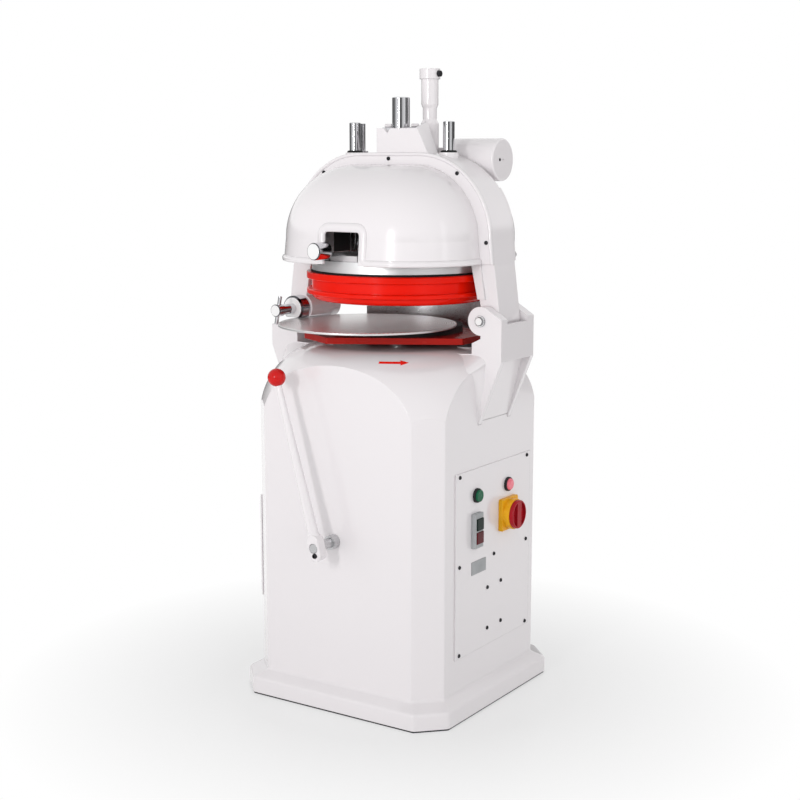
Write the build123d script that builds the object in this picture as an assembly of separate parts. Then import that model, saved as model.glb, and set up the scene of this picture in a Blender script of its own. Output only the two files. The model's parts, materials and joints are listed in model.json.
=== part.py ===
from build123d import *
import os
from math import acos, atan2, cos, degrees, radians, sin, sqrt

# Dough divider and rounder. Millimetres, +Z up. The rounding lever is on the front (-Y),
# the control panel on the right (+X), the origin on the floor under the middle of the plinth.

# Plinth and cabinet
PLINTH_W = 560.0
PLINTH_CHAMFER = 57.0
BASE_T = 4.0
BASE_INSET = 2.5
PLINTH_BAND_H = 36.0
PLINTH_SLOPE_H = 17.0
PLINTH_EDGE_R = 9.0
BODY_W = 505.0
BODY_CHAMFER = 53.0
BODY_TOP = 815.0
EDGE_R = 5.0
DOME_FLAT_R = 170.0
DOME_H = 175.0
DOME_OVERHANG = 4.0
WALL = 5.0
PLINTH_WALL = 20.0
FIT = 0.05
SEAT = 0.3

# Head axis and the brackets that carry the head
HEAD_Y = 10.0
HINGE_X = 257.0
HINGE_RISE = 22.5
EAR_R = 32.0
EAR_T = 27.0
EAR_GAP = 1.0
EAR_SHOULDER = 5.0
EAR_WALL = 10.0
EAR_WALL_DROP = 6.0
BRACKET_X = 310.0
BRACKET_H = 49.0
BRACKET_FLOOR = 39.0
BRACKET_IN = 22.0
BRACKET_SLOPE = 11.0
LEFT_FORE = 17.0
RIB_H = 145.0
RIB_T = 14.0
WEB_SET = 20.0
WEB_H = 138.0
PIN_R = 9.5
PIN_OUT = 9.0
WASHER_R = 12.5
WASHER_T = 4.0

# Table and moulding plate
THROW = 7.0
TABLE_GAP = 13.0
TABLE_T = 14.0
TABLE_LONG = 160.0
TABLE_SHORT = 212.0
TABLE_CORNER_R = 5.0
PAD_R = 150.0
PAD_T = 15.0
PLATE_R = 206.0
PLATE_T = 5.5
PLATE_PULL = 80.0
PULL_ANGLE = 30.0
CRANK_COUNT = 2
CRANK_AT = 178.0
CRANK_R = 21.0
CRANK_PIN_R = 9.0
CRANK_BOSS_H = 2.0

# Drive inside the cabinet
SHAFT_R = 17.5
ECCENTRIC_R = 20.0
BEARING_R = 50.0
BEARING_H = 28.0
BRIDGE_Z = 430.0
BRIDGE_T = 20.0
BRIDGE_W = 80.0
PULLEY_Z = 350.0
PULLEY_H = 22.0
MAIN_PULLEY_R = 100.0
MOTOR_PULLEY_R = 32.0
BELT_T = 8.0
BELT_H = 12.0
MOTOR_X = -130.0
MOTOR_Y = 135.0
MOTOR_R = 68.0
MOTOR_H = 270.0
MOTOR_FOOT_W = 150.0
MOTOR_FOOT_H = 14.0
MOTOR_SHAFT_R = 12.0
FIN_COUNT = 24
FIN_H = 5.0

# Rounding lever
LEVER_X = -5.0
LEVER_Z = 393.0
LEVER_SHAFT_R = 11.0
LEVER_REACH = 66.0
LEVER_IN = 95.0
BUSH_R = 16.0
BUSH_L = 20.0
EYE_W = 30.0
EYE_H = 60.0
EYE_T = 26.0
ROD_LEN = 384.0
ROD_LEAN = 15.9
ROD_FOOT_R = 12.0
ROD_TOP_R = 6.5
BALL_R = 20.0
FORK_LEN = 80.0
FORK_T = 14.0

# Covers and controls
COVER_T = 3.0
PANEL_Y0 = -159.0
PANEL_Y1 = 176.0
PANEL_Z0 = 135.0
PANEL_Z1 = 557.0
PANEL_LAP = 30.0
PANEL_SCREW_IN = 16.0
SCREW_R = 4.5
SCREW_H = 2.4
BUTTON_Y = -71.0
LAMP_Y = 69.5
BUTTON_Z = 496.0
BUTTON_R = 13.5
STEM_HOLE_R = 10.8
BUTTON_GAP = 4.0
BEZEL_R = 16.5
BEZEL_T = 6.0
BUTTON_OUT = 5.0
LAMP_ROUND = 4.0
KEYBOX_Y = -75.5
KEYBOX_Z = 417.5
KEYBOX_W = 34.0
KEYBOX_H = 79.0
KEYBOX_T = 12.0
KEY_W = 27.0
KEY_H = 26.5
KEY_OUT = 3.0
KEY_STEP = 15.4
KEY_LOW = 0.6
KEY_TRAVEL = 4.0
SWITCH_Y = 66.5
SWITCH_Z = 428.5
SWITCH_W = 75.0
SWITCH_T = 10.0
SWITCH_RING_R = 35.5
SWITCH_RING_T = 15.0
KNOB_R = 33.0
KNOB_T = 9.0
KNOB_RIM = 4.0
GRIP_W = 18.0
GRIP_DEEP = 6.0
BLANK_Y = -60.0
BLANK_Z = 330.0
BLANK_W = 62.0
BLANK_H = 30.0
SIDE_W = 392.0
SIDE_Z0 = 212.0
SIDE_Z1 = 456.0
SIDE_T = 14.0
SIDE_GAP = 4.5
SIDE_BEVEL = 11.0
REAR_W = 300.0
REAR_Z0 = 100.0
REAR_Z1 = 410.0
SLOT_COUNT = 6
SLOT_W = 150.0
SLOT_H = 7.0
GUARD_R = 247.0
GUARD_T = 2.0
GUARD_H = 113.0
GUARD_HALF_ANGLE = 52.0

# Yoke
YOKE_T = 90.0
YOKE_FLAT = 80.0
YOKE_R = 190.0
YOKE_RISE = 365.0
YOKE_KNEE = 119.0
YOKE_KNEE_OUT = 5.0
YOKE_INNER = 224.0
YOKE_ARM_LEAN = 22.0
YOKE_BEAM = 132.0
YOKE_CORNER = 45.0
LUG_R = 33.5
LUG_FLAT = 18.0
GAP_HALF = 76.0
GAP_FLOOR = 84.0
GAP_EASE = 5.0
TOWER_X0 = -36.0
TOWER_X1 = 73.0
TOWER_T = 11.0
TOWER_RISE = 54.0
TOWER_SPLAY = 30.0
TOWER_SIDE_T = 5.0
TOWER_SIDE_L = 42.0
TOWER_SIDE_RISE = 14.0
VEE_X = -8.0
VEE_HALF = 9.0
VEE_DEPTH = 11.0
GUIDE_BOSS_R = 22.0
GUIDE_BOSS_H = 30.0
CHEEK_T = 16.0
CHEEK_R = 27.0

# Hoods on the yoke
HOOD_SIDE_IN = 6.0
HOOD_AXIS = 25.0
HOOD_WALL = 4.0
HOOD_DROP = 52.0
HOOD_FLARE = 5.0
LIP_H = 11.0
LIP_T = 3.0
FLANGE_T = 6.0
FLANGE_W = 27.0
FLANGE_SCREW_ANGLE = 55.0
NOTCH_HALF = 47.0
NOTCH_TOP = 20.0
NOTCH_R = 9.0
REAR_HOOD_GAP = 14.0
REAR_HOOD_LIFT = 4.0

# Ring unit
RING_LIFT = 54.5
RING_H = 65.0
RING_FLANGE_R = 218.0
RING_WALL_R = 206.0
RING_FOOT_R = 190.0
RING_BORE_R = 178.0
RING_FOOT_H = 15.0
RING_MID_T = 11.0
RING_TOP_T = 16.0
RING_EDGE = 2.5
SEAL_T = 4.0
SEAL_R = 208.0
CLAMP_T = 12.0
CLAMP_R = 206.0
HEAD_PLATE_T = 14.0
HEAD_BOSS_R = 33.0
HEAD_BOSS_H = 5.0
PRESS_UP = 13.0
PRESS_T = 42.0
PRESS_GAP = 1.0
PRESS_WEB = 6.0
KNIFE_UP = 18.0
KNIFE_H = 28.0
KNIFE_T = 2.0
GROOVE_GAP = 0.6
KNIFE_R1 = 72.7
KNIFE_R2 = 125.9
SECTORS = 5
STEM_AT = 100.0
STEM_R = 5.0
CARRIER_R = 116.0
CARRIER_T = 6.0
CARRIER_GAP = 1.0
SPACER_AT = 150.0
SPACER_TURN = 36.0
SPACER_R = 9.0
COLUMN_R = 20.0
COLUMN_TOP = 124.0
GUIDE_X = 128.0
GUIDE_R = 13.0
GUIDE_TOP = 69.0
STOP_X = -128.0
STOP_BACK = 30.0
STOP_R = 7.0
STOP_TOP = 67.0
STOP_FLANGE_R = 13.0
STOP_FLANGE_T = 4.0

# Regulating lever on the ring unit
REG_ANGLE = 7.0
REG_T = 8.0
REG_W = 22.0
REG_HUB_R = 52.0
REG_UP = 13.0
REG_CLEAR = 10.0
REG_KNOB_R = 19.0
REG_KNOB_L = 42.0
REG_KNOB_LAP = 4.0
REG_KNOB_RISE = 9.0
REG_SLOT_L = 60.0
REG_SLOT_W = 8.0
REG_BLOCK_W = 80.0
REG_BLOCK_L = 46.0
REG_BLOCK_AT = 150.0

# Press lever
PIVOT_Y = 90.0
PIVOT_DROP = 16.0
PIVOT_R = 12.0
CROSS_RISE = 50.0
CROSS_R = 7.0
CROSS_HALF = 49.0
RING_STROKE = 52.0
CUT_STROKE = 16.0
PRESS_TURN = 35.0
ARM_X = 27.0
ARM_T = 18.0
ARM_HALF_H = 19.0
HUB_R = 26.0
HUB_GAP = 2.0
NOSE_R = 110.0
SLOT_GAP = 0.6
SLOT_STEPS = 6
SOCKET_X = 46.0
SOCKET_FORE = 30.0
SOCKET_FOOT_R = 20.5
SOCKET_FOOT_H = 82.0
NECK_R = 16.0
NECK_TAPER = 8.0
SOCKET_R = 19.5
SOCKET_H = 165.0
SOCKET_TUBE_L = 57.0
SOCKET_BORE_R = 15.0
SOCKET_DEPTH = 73.0
COLLAR_R = 23.5
COLLAR_H = 23.0
SET_SCREW_R = 7.0
SET_SCREW_H = 8.0
SET_SHANK_R = 4.0
SET_FLAT = 1.5
SPRING_R = 48.0
SPRING_BACK = 15.0
SPRING_L = 122.0
SPRING_WALL = 4.0

# Lock screw on the left and the cover plate on the right arm
LOCK_BOSS_R = 30.0
LOCK_BOSS_T = 34.0
LOCK_CLEAR = 21.0
LOCK_R = 11.0
LOCK_SHANK_R = 12.0
LOCK_KNOB_R = 14.5
LOCK_KNOB_L = 24.0
LOCK_LEN = 66.0
LOCK_NUT_R = 18.0
LOCK_NUT_T = 9.0
TOMMY_R = 4.5
TOMMY_L = 68.0
TOMMY_LEAN = 11.0
ARM_PLATE_T = 5.0
ARM_PLATE_W = 23.0
ARM_PLATE_LAP = 6.0
ARM_PLATE_LEAN = 17.0
ARM_PLATE_TAPER = 4.0
ARM_PLATE_FOOT = 13.0

# Heights and places that follow from the sizes above
PLINTH_BAND_TOP = BASE_T + PLINTH_BAND_H
PLINTH_TOP = PLINTH_BAND_TOP + PLINTH_SLOPE_H
HALF = BODY_W / 2
INNER = HALF - WALL
TABLE_Z = BODY_TOP + TABLE_GAP
TABLE_TOP = TABLE_Z + TABLE_T
PLATE_Z = TABLE_TOP + PAD_T
PLATE_TOP = PLATE_Z + PLATE_T
HINGE_Z = PLATE_TOP + HINGE_RISE
RING_Z = PLATE_TOP + RING_LIFT
RING_TOP = RING_Z + RING_H
CLAMP_Z = RING_TOP + SEAL_T
HEAD_Z = CLAMP_Z + CLAMP_T
HEAD_TOP = HEAD_Z + HEAD_PLATE_T
YOKE_TOP = HINGE_Z + YOKE_RISE
YOKE_MID = YOKE_TOP - YOKE_R
YOKE_FRONT = HEAD_Y - YOKE_T / 2
YOKE_BACK = HEAD_Y + YOKE_T / 2
KNEE_Z = HINGE_Z + YOKE_KNEE
HOOD_R = YOKE_R - FLANGE_W
HOOD_HALF = YOKE_FLAT - HOOD_SIDE_IN
HOOD_Z = YOKE_MID - HOOD_DROP
HOOD_REACH = HEAD_Y - YOKE_FRONT + HOOD_AXIS + HOOD_R + HOOD_FLARE + LIP_T
REG_LEN = HOOD_REACH + REG_CLEAR + REG_KNOB_LAP
REG_Z = HEAD_TOP + REG_UP + SEAT
PIVOT_Z = YOKE_TOP - PIVOT_DROP
CROSS_Z = YOKE_TOP + CROSS_RISE
SOCKET_TOP = SOCKET_H + PIVOT_DROP
PULLEY_TOP = PULLEY_Z + PULLEY_H
BUSH_FRONT = -HALF - BUSH_L
LEVER_Y = -HALF - LEVER_REACH
PANEL_X = HALF + COVER_T
EAR_FRONT = YOKE_FRONT - EAR_GAP
EAR_BACK = YOKE_BACK + EAR_GAP
BRACKET_Y0 = EAR_FRONT - EAR_T
BRACKET_Y1 = EAR_BACK + EAR_T
BRACKET_TOP = HINGE_Z - BRACKET_FLOOR
BRACKET_Z = BRACKET_TOP - BRACKET_H
ECCENTRIC_X = -THROW
DOME_OUT_R = sqrt(HALF ** 2 + (HALF - BODY_CHAMFER) ** 2) + DOME_OVERHANG
LOCK_END = YOKE_FRONT - LOCK_BOSS_T - LOCK_LEN


def block(x0, x1, y0, y1, z0, z1):
    """A box between two corners."""
    middle = Pos((x0 + x1) / 2, (y0 + y1) / 2, (z0 + z1) / 2)
    return middle * Box(x1 - x0, y1 - y0, z1 - z0)


def rod_z(x, y, z0, z1, radius):
    """An upright cylinder."""
    return Pos(x, y, (z0 + z1) / 2) * Cylinder(radius, z1 - z0)


def rod_x(x0, x1, y, z, radius):
    """A cylinder along X."""
    return Pos((x0 + x1) / 2, y, z) * Rot(0, 90, 0) * Cylinder(radius, x1 - x0)


def rod_y(x, y0, y1, z, radius):
    """A cylinder along Y."""
    return Pos(x, (y0 + y1) / 2, z) * Rot(90, 0, 0) * Cylinder(radius, y1 - y0)


def polygon(points):
    """A flat face through the points."""
    return make_face(Polyline(*points, close=True))


def slab_y(face, y0, y1):
    """A face drawn in X and Z, made solid from y0 to y1."""
    plane = Plane(origin=(0, y1, 0), x_dir=(1, 0, 0), z_dir=(0, -1, 0))
    return extrude(plane * face, amount=y1 - y0)


def slab_x(face, x0, x1):
    """A face drawn in Y and Z, made solid from x0 to x1."""
    plane = Plane(origin=(x0, 0, 0), x_dir=(0, 1, 0), z_dir=(1, 0, 0))
    return extrude(plane * face, amount=x1 - x0)


def slab_z(face, z0, z1):
    """A face drawn in X and Y, made solid from z0 to z1."""
    return extrude(Pos(0, 0, z0) * face, amount=z1 - z0)


def turned(points):
    """A ring or disc turned about the head axis from a closed outline of (radius, z)."""
    return Pos(0, HEAD_Y, 0) * revolve(Plane.XZ * polygon(points), Axis.Z)


def about_head(angle):
    """A turn about the head axis, from -Y toward +X."""
    return Pos(0, HEAD_Y, 0) * Rot(0, 0, angle)


def octagon(width, corner, edge_r=EDGE_R):
    """A square with cut corners that are slightly rounded."""
    half = width / 2
    cut = half - corner
    points = [(half, -cut), (half, cut), (cut, half), (-cut, half)]
    points += [(-half, cut), (-half, -cut), (-cut, -half), (cut, -half)]
    face = polygon(points)
    return fillet(face.vertices(), edge_r)


def dome(flat_r, out_r, base, height):
    """A turned block with a flat top and an elliptical shoulder."""
    rim = Line((0, base - BODY_TOP), (out_r, base - BODY_TOP))
    side = Line((out_r, base - BODY_TOP), (out_r, base))
    shoulder = EllipticalCenterArc((flat_r, base), out_r - flat_r, height, start_angle=0, arc_size=90)
    top = Line((flat_r, base + height), (0, base + height))
    axis = Line((0, base + height), (0, base - BODY_TOP))
    return revolve(Plane.XZ * make_face([rim, side, shoulder, top, axis]), Axis.Z)


def screw_head_x(y, z):
    """A low round screw head on the control panel."""
    head = rod_x(PANEL_X, PANEL_X + SCREW_H, y, z, SCREW_R)
    return chamfer(head.edges().sort_by(Axis.X)[-1], SCREW_H / 3)


def on_side(side, points):
    """A face through points given for the right side, mirrored for the left."""
    return polygon([(side * x, z) for x, z in points])


def bracket_ear(side, y0, y1):
    """One upright ear, round about the hinge axis, with a shoulder that slopes to its outer side."""
    run = BRACKET_X - HINGE_X
    turn = atan2(EAR_SHOULDER, run) + acos(EAR_R / sqrt(run ** 2 + EAR_SHOULDER ** 2))
    touch = (HINGE_X + EAR_R * cos(turn), HINGE_Z + EAR_R * sin(turn))
    shoulder = (BRACKET_X, HINGE_Z + EAR_SHOULDER)
    stem = on_side(side, [(HINGE_X, BRACKET_Z), (BRACKET_X, BRACKET_Z), shoulder, touch, (HINGE_X, HINGE_Z)])
    eye = Pos(side * HINGE_X, HINGE_Z) * Circle(EAR_R)
    return slab_y(stem + eye, y0, y1)


def bracket_rib(side, outer, height):
    """The outline of a rib or web that runs from the bracket down to the side of the cabinet."""
    top = BRACKET_TOP - BRACKET_SLOPE
    foot = BRACKET_Z - height
    return on_side(side, [(INNER, top), (outer, top), (outer, BRACKET_Z), (HALF, foot), (INNER, foot)])


def bracket_base(side, front):
    """The block under the ears with its ribs running down the side of the cabinet."""
    inner = HINGE_X - BRACKET_IN
    outline = [(inner, BRACKET_Z), (BRACKET_X, BRACKET_Z), (BRACKET_X, BRACKET_TOP)]
    outline += [(HINGE_X, BRACKET_TOP), (inner, BRACKET_TOP - BRACKET_SLOPE)]
    base = slab_y(on_side(side, outline), front, BRACKET_Y1)
    rib = bracket_rib(side, BRACKET_X, RIB_H)
    base += slab_y(rib, front, front + RIB_T)
    base += slab_y(rib, BRACKET_Y1 - RIB_T, BRACKET_Y1)
    base += slab_y(bracket_rib(side, BRACKET_X - WEB_SET, WEB_H), front, BRACKET_Y1)
    return base


def crank_place(index):
    """Centre of one table crank on the cabinet top."""
    angle = radians(90 + 120 * index)
    return CRANK_AT * sin(angle), HEAD_Y - CRANK_AT * cos(angle)


def cabinet_form(grow):
    """The cabinet above its plinth as a solid, made larger all over by a margin."""
    cut = BODY_CHAMFER + grow * (2 - sqrt(2))
    prism = slab_z(octagon(BODY_W + 2 * grow, cut), PLINTH_TOP, BODY_TOP + grow)
    return prism & dome(DOME_FLAT_R, DOME_OUT_R + grow, BODY_TOP - DOME_H, DOME_H + grow)


def make_housing():
    """The painted cabinet with its plinth and domed top."""
    foot = octagon(PLINTH_W, PLINTH_CHAMFER, PLINTH_EDGE_R + EDGE_R)
    plinth = slab_z(foot, BASE_T, PLINTH_BAND_TOP)
    wide = Pos(0, 0, PLINTH_BAND_TOP) * foot
    narrow = Pos(0, 0, PLINTH_TOP) * octagon(BODY_W, BODY_CHAMFER)
    outer = plinth + loft([wide, narrow], ruled=True) + cabinet_form(0)
    for level in (PLINTH_BAND_TOP, PLINTH_TOP):
        outer = fillet(outer.edges().filter_by_position(Axis.Z, level - SEAT, level + SEAT), PLINTH_EDGE_R)
    for index in range(CRANK_COUNT):
        x, y = crank_place(index)
        outer += rod_z(x, y, BODY_TOP - 2 * WALL, BODY_TOP + CRANK_BOSS_H, CRANK_R)
    inner_cut = BODY_CHAMFER - WALL * (2 - sqrt(2))
    cavity = slab_z(octagon(2 * INNER, inner_cut), 0, BODY_TOP)
    cavity = cavity & dome(DOME_FLAT_R, DOME_OUT_R - WALL, BODY_TOP - DOME_H, DOME_H - WALL)
    plinth_cut = PLINTH_CHAMFER - PLINTH_WALL * (2 - sqrt(2))
    cavity += slab_z(octagon(PLINTH_W - 2 * PLINTH_WALL, plinth_cut), 0, PLINTH_BAND_TOP - WALL)
    shell = outer - cavity
    shell -= rod_z(0, HEAD_Y, BODY_TOP - 2 * WALL, BODY_TOP + WALL, ECCENTRIC_R + THROW + WALL)
    for index in range(CRANK_COUNT):
        x, y = crank_place(index)
        shell -= rod_z(x, y, BODY_TOP - 3 * WALL, BODY_TOP + WALL, CRANK_PIN_R + FIT)
    shell -= rod_y(LEVER_X, -HALF - 1, -INNER + 1, LEVER_Z, LEVER_SHAFT_R + 2 * SEAT)
    shell -= block(INNER - 1, HALF + 1, PANEL_Y0 + PANEL_LAP, PANEL_Y1 - PANEL_LAP,
                   PANEL_Z0 + PANEL_LAP, PANEL_Z1 - PANEL_LAP)
    side_half = SIDE_W / 2 - PANEL_LAP
    shell -= block(-HALF - 1, -INNER + 1, -side_half, side_half, SIDE_Z0 + PANEL_LAP, SIDE_Z1 - PANEL_LAP)
    rear_half = REAR_W / 2 - PANEL_LAP
    shell -= block(-rear_half, rear_half, INNER - 1, HALF + 1, REAR_Z0 + PANEL_LAP, REAR_Z1 - PANEL_LAP)
    return shell


def make_right_bracket():
    """The right bracket: two ears with the bore of the hinge pin, closed on the outside by a wall."""
    bracket = bracket_base(1, BRACKET_Y0)
    bracket += bracket_ear(1, EAR_BACK, BRACKET_Y1) + bracket_ear(1, BRACKET_Y0, EAR_FRONT)
    wall_top = HINGE_Z - EAR_WALL_DROP
    bracket += block(BRACKET_X - EAR_WALL, BRACKET_X, EAR_FRONT, EAR_BACK, BRACKET_Z, wall_top)
    bracket -= cabinet_form(SEAT)
    return bracket - rod_y(HINGE_X, BRACKET_Y0 - 1, BRACKET_Y1 + 1, HINGE_Z, PIN_R + FIT)


def make_left_bracket():
    """The left bracket: one rear ear with an open slot that the lock screw drops into."""
    bracket = bracket_base(-1, BRACKET_Y0 - LEFT_FORE) + bracket_ear(-1, EAR_BACK, BRACKET_Y1)
    bracket -= cabinet_form(SEAT)
    slot_r = LOCK_R + 2 * SEAT
    bracket -= rod_y(-HINGE_X, EAR_BACK - 1, BRACKET_Y1 + 1, HINGE_Z, slot_r)
    return bracket - block(-HINGE_X - slot_r, -HINGE_X + slot_r, EAR_BACK - 1, BRACKET_Y1 + 1,
                           HINGE_Z, HINGE_Z + 2 * EAR_R)


def make_base_plate():
    """The bottom plate that the machine stands on, set in from the plinth edge."""
    cut = PLINTH_CHAMFER - BASE_INSET * (2 - sqrt(2))
    return slab_z(octagon(PLINTH_W - 2 * BASE_INSET, cut), 0, BASE_T)


def make_side_cover():
    """The raised cover on the left side, held off the wall by four spacers."""
    half = SIDE_W / 2
    cover = block(-HALF - SIDE_GAP - SIDE_T, -HALF - SIDE_GAP, -half, half, SIDE_Z0, SIDE_Z1)
    outer_edges = cover.faces().sort_by(Axis.X)[0].edges()
    cover = chamfer(outer_edges, SIDE_BEVEL)
    inset = PANEL_LAP / 2
    for y in (-half + inset, half - inset):
        for z in (SIDE_Z0 + inset, SIDE_Z1 - inset):
            cover += rod_x(-HALF - SIDE_GAP, -HALF, y, z, SCREW_R * 2)
    return cover


def make_rear_cover():
    """The vented service cover on the back."""
    half = REAR_W / 2
    cover = block(-half, half, HALF, HALF + COVER_T, REAR_Z0, REAR_Z1)
    pitch = (REAR_Z1 - REAR_Z0) / (SLOT_COUNT + 3)
    for index in range(SLOT_COUNT):
        z = REAR_Z0 + pitch * (index + 2)
        cover -= block(-SLOT_W / 2, SLOT_W / 2, HALF - 1, HALF + COVER_T + 1, z - SLOT_H / 2, z + SLOT_H / 2)
    return cover


def make_control_panel():
    """The cover plate on the right side with holes for the controls."""
    panel = block(HALF, PANEL_X, PANEL_Y0, PANEL_Y1, PANEL_Z0, PANEL_Z1)
    for y in (BUTTON_Y, LAMP_Y):
        panel -= rod_x(HALF - 1, PANEL_X + 1, y, BUTTON_Z, STEM_HOLE_R)
    panel -= rod_x(HALF - 1, PANEL_X + 1, SWITCH_Y, SWITCH_Z, GRIP_W / 2)
    return panel


def make_panel_screws():
    """Screw heads along both edges of the control panel."""
    screws = []
    middle = (PANEL_Z0 + PANEL_Z1) / 2
    for y in (PANEL_Y0 + PANEL_SCREW_IN, PANEL_Y1 - PANEL_SCREW_IN):
        for z in (PANEL_Z0 + PANEL_SCREW_IN / 2, middle, PANEL_Z1 - PANEL_SCREW_IN / 2):
            screws.append(screw_head_x(y, z))
    return Compound(screws)


def make_bezel(y):
    """A round collar on the control panel."""
    ring = rod_x(PANEL_X, PANEL_X + BEZEL_T, y, BUTTON_Z, BEZEL_R)
    ring = fillet(ring.edges().sort_by(Axis.X)[-1], BEZEL_T / 4)
    return ring - rod_x(PANEL_X - 1, PANEL_X + BEZEL_T + 1, y, BUTTON_Z, BUTTON_R + SEAT)


def round_cap(y):
    """A round cap that stands in its collar on a stem through the panel."""
    cap = rod_x(PANEL_X + BUTTON_GAP, PANEL_X + BEZEL_T + BUTTON_OUT, y, BUTTON_Z, BUTTON_R)
    return cap + rod_x(HALF, PANEL_X + BUTTON_GAP, y, BUTTON_Z, STEM_HOLE_R - SEAT)


def make_button():
    """The round push button."""
    button = round_cap(BUTTON_Y)
    return fillet(button.edges().sort_by(Axis.X)[-1], BUTTON_OUT / 4)


def make_lamp():
    """The domed lens of the pilot lamp."""
    lens = round_cap(LAMP_Y)
    return fillet(lens.edges().sort_by(Axis.X)[-1], LAMP_ROUND)


def key_pocket(z):
    """The space for one key in the key box."""
    half_w = KEY_W / 2 + SEAT
    half_h = KEY_H / 2 + SEAT
    return block(PANEL_X + COVER_T, PANEL_X + 2 * KEYBOX_T, KEYBOX_Y - half_w, KEYBOX_Y + half_w,
                 z - half_h, z + half_h)


def make_key_box():
    """The grey box with pockets for the start and stop keys."""
    box = block(PANEL_X, PANEL_X + KEYBOX_T, KEYBOX_Y - KEYBOX_W / 2, KEYBOX_Y + KEYBOX_W / 2,
                KEYBOX_Z - KEYBOX_H / 2, KEYBOX_Z + KEYBOX_H / 2)
    box = fillet(box.faces().sort_by(Axis.X)[-1].edges(), KEYBOX_T / 6)
    for step in (-KEY_STEP, KEY_STEP):
        box -= key_pocket(KEYBOX_Z - KEY_LOW + step)
    return box


def make_key(z):
    """One rectangular key standing in its pocket."""
    back = PANEL_X + COVER_T + KEY_TRAVEL
    front = PANEL_X + KEYBOX_T + KEY_OUT
    key = block(back, front, KEYBOX_Y - KEY_W / 2, KEYBOX_Y + KEY_W / 2, z - KEY_H / 2, z + KEY_H / 2)
    return fillet(key.faces().sort_by(Axis.X)[-1].edges(), KEY_OUT / 3)


def make_switch_base():
    """The square base of the main switch with the round collar that its handle turns in."""
    half = SWITCH_W / 2
    front = PANEL_X + SWITCH_T
    base = block(PANEL_X, front, SWITCH_Y - half, SWITCH_Y + half, SWITCH_Z - half, SWITCH_Z + half)
    base = fillet(base.edges().filter_by(Axis.X), SWITCH_T / 2)
    base = chamfer(base.faces().sort_by(Axis.X)[-1].edges(), SWITCH_T / 6)
    collar = rod_x(PANEL_X, front + SWITCH_RING_T, SWITCH_Y, SWITCH_Z, SWITCH_RING_R)
    return base + fillet(collar.edges().sort_by(Axis.X)[-1], SWITCH_T / 6)


def make_switch_knob():
    """The round turning handle of the main switch, with a pocket on each side of its grip bar."""
    back = PANEL_X + SWITCH_T + SWITCH_RING_T + SEAT
    front = back + KNOB_T
    knob = rod_x(back, front, SWITCH_Y, SWITCH_Z, KNOB_R)
    knob = fillet(knob.edges().sort_by(Axis.X)[-1], KNOB_T / 4)
    well = rod_x(front - GRIP_DEEP, front + 1, SWITCH_Y, SWITCH_Z, KNOB_R - KNOB_RIM)
    grip = block(back, front + 1, SWITCH_Y - GRIP_W / 2, SWITCH_Y + GRIP_W / 2,
                 SWITCH_Z - KNOB_R, SWITCH_Z + KNOB_R)
    return knob - (well - grip)


def make_blank_plate():
    """A plain grey plate on the control panel."""
    return block(PANEL_X, PANEL_X + COVER_T / 2, BLANK_Y - BLANK_W / 2, BLANK_Y + BLANK_W / 2,
                 BLANK_Z - BLANK_H / 2, BLANK_Z + BLANK_H / 2)


def make_guard():
    """The curved stainless strip that stands behind the moulding plate."""
    across = (GUARD_R - DOME_FLAT_R) / (DOME_OUT_R - DOME_FLAT_R)
    foot = BODY_TOP - DOME_H + DOME_H * sqrt(1 - across ** 2)
    high = foot + GUARD_H
    strip = rod_z(0, 0, foot, high, GUARD_R + GUARD_T) - rod_z(0, 0, 0, high + 1, GUARD_R)
    reach = 2 * GUARD_R
    spread = radians(GUARD_HALF_ANGLE)
    side = reach * sin(spread)
    back = reach * cos(spread)
    wedge = polygon([(0, 0), (side, back), (-side, back)])
    return strip & slab_z(wedge, 0, high + 1)


def make_motor():
    """The upright motor with cooling fins on the bottom plate."""
    foot = MOTOR_FOOT_W / 2
    motor = block(MOTOR_X - foot, MOTOR_X + foot, MOTOR_Y - foot, MOTOR_Y + foot,
                  BASE_T, BASE_T + MOTOR_FOOT_H)
    low = BASE_T + MOTOR_FOOT_H
    high = BASE_T + MOTOR_H
    motor += rod_z(MOTOR_X, MOTOR_Y, low, high, MOTOR_R - FIN_H)
    for index in range(FIN_COUNT):
        fin = block(0, MOTOR_R, -FIN_H / 4, FIN_H / 4, low + FIN_H, high - 4 * FIN_H)
        motor += Pos(MOTOR_X, MOTOR_Y, 0) * Rot(0, 0, 360 / FIN_COUNT * index) * fin
    return motor + rod_z(MOTOR_X, MOTOR_Y, high, PULLEY_Z - SEAT, MOTOR_SHAFT_R)


def make_pulley(x, y, radius, bore_r):
    """A grooved belt pulley."""
    middle = PULLEY_Z + PULLEY_H / 2
    wheel = rod_z(x, y, PULLEY_Z, PULLEY_TOP, radius + BELT_T)
    groove = rod_z(x, y, middle - BELT_H / 2 - SEAT, middle + BELT_H / 2 + SEAT, radius + 2 * BELT_T)
    groove -= rod_z(x, y, 0, BODY_TOP, radius - SEAT)
    return wheel - groove - rod_z(x, y, 0, BODY_TOP, bore_r)


def belt_outline(margin):
    """The outline of the belt round both pulleys."""
    main = Pos(0, HEAD_Y) * Circle(MAIN_PULLEY_R + margin)
    small = Pos(MOTOR_X, MOTOR_Y) * Circle(MOTOR_PULLEY_R + margin)
    return make_hull(main.edges() + small.edges())


def make_belt():
    """The drive belt."""
    middle = PULLEY_Z + PULLEY_H / 2
    band = belt_outline(BELT_T - 2 * SEAT) - belt_outline(0)
    return slab_z(band, middle - BELT_H / 2, middle + BELT_H / 2)


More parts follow.
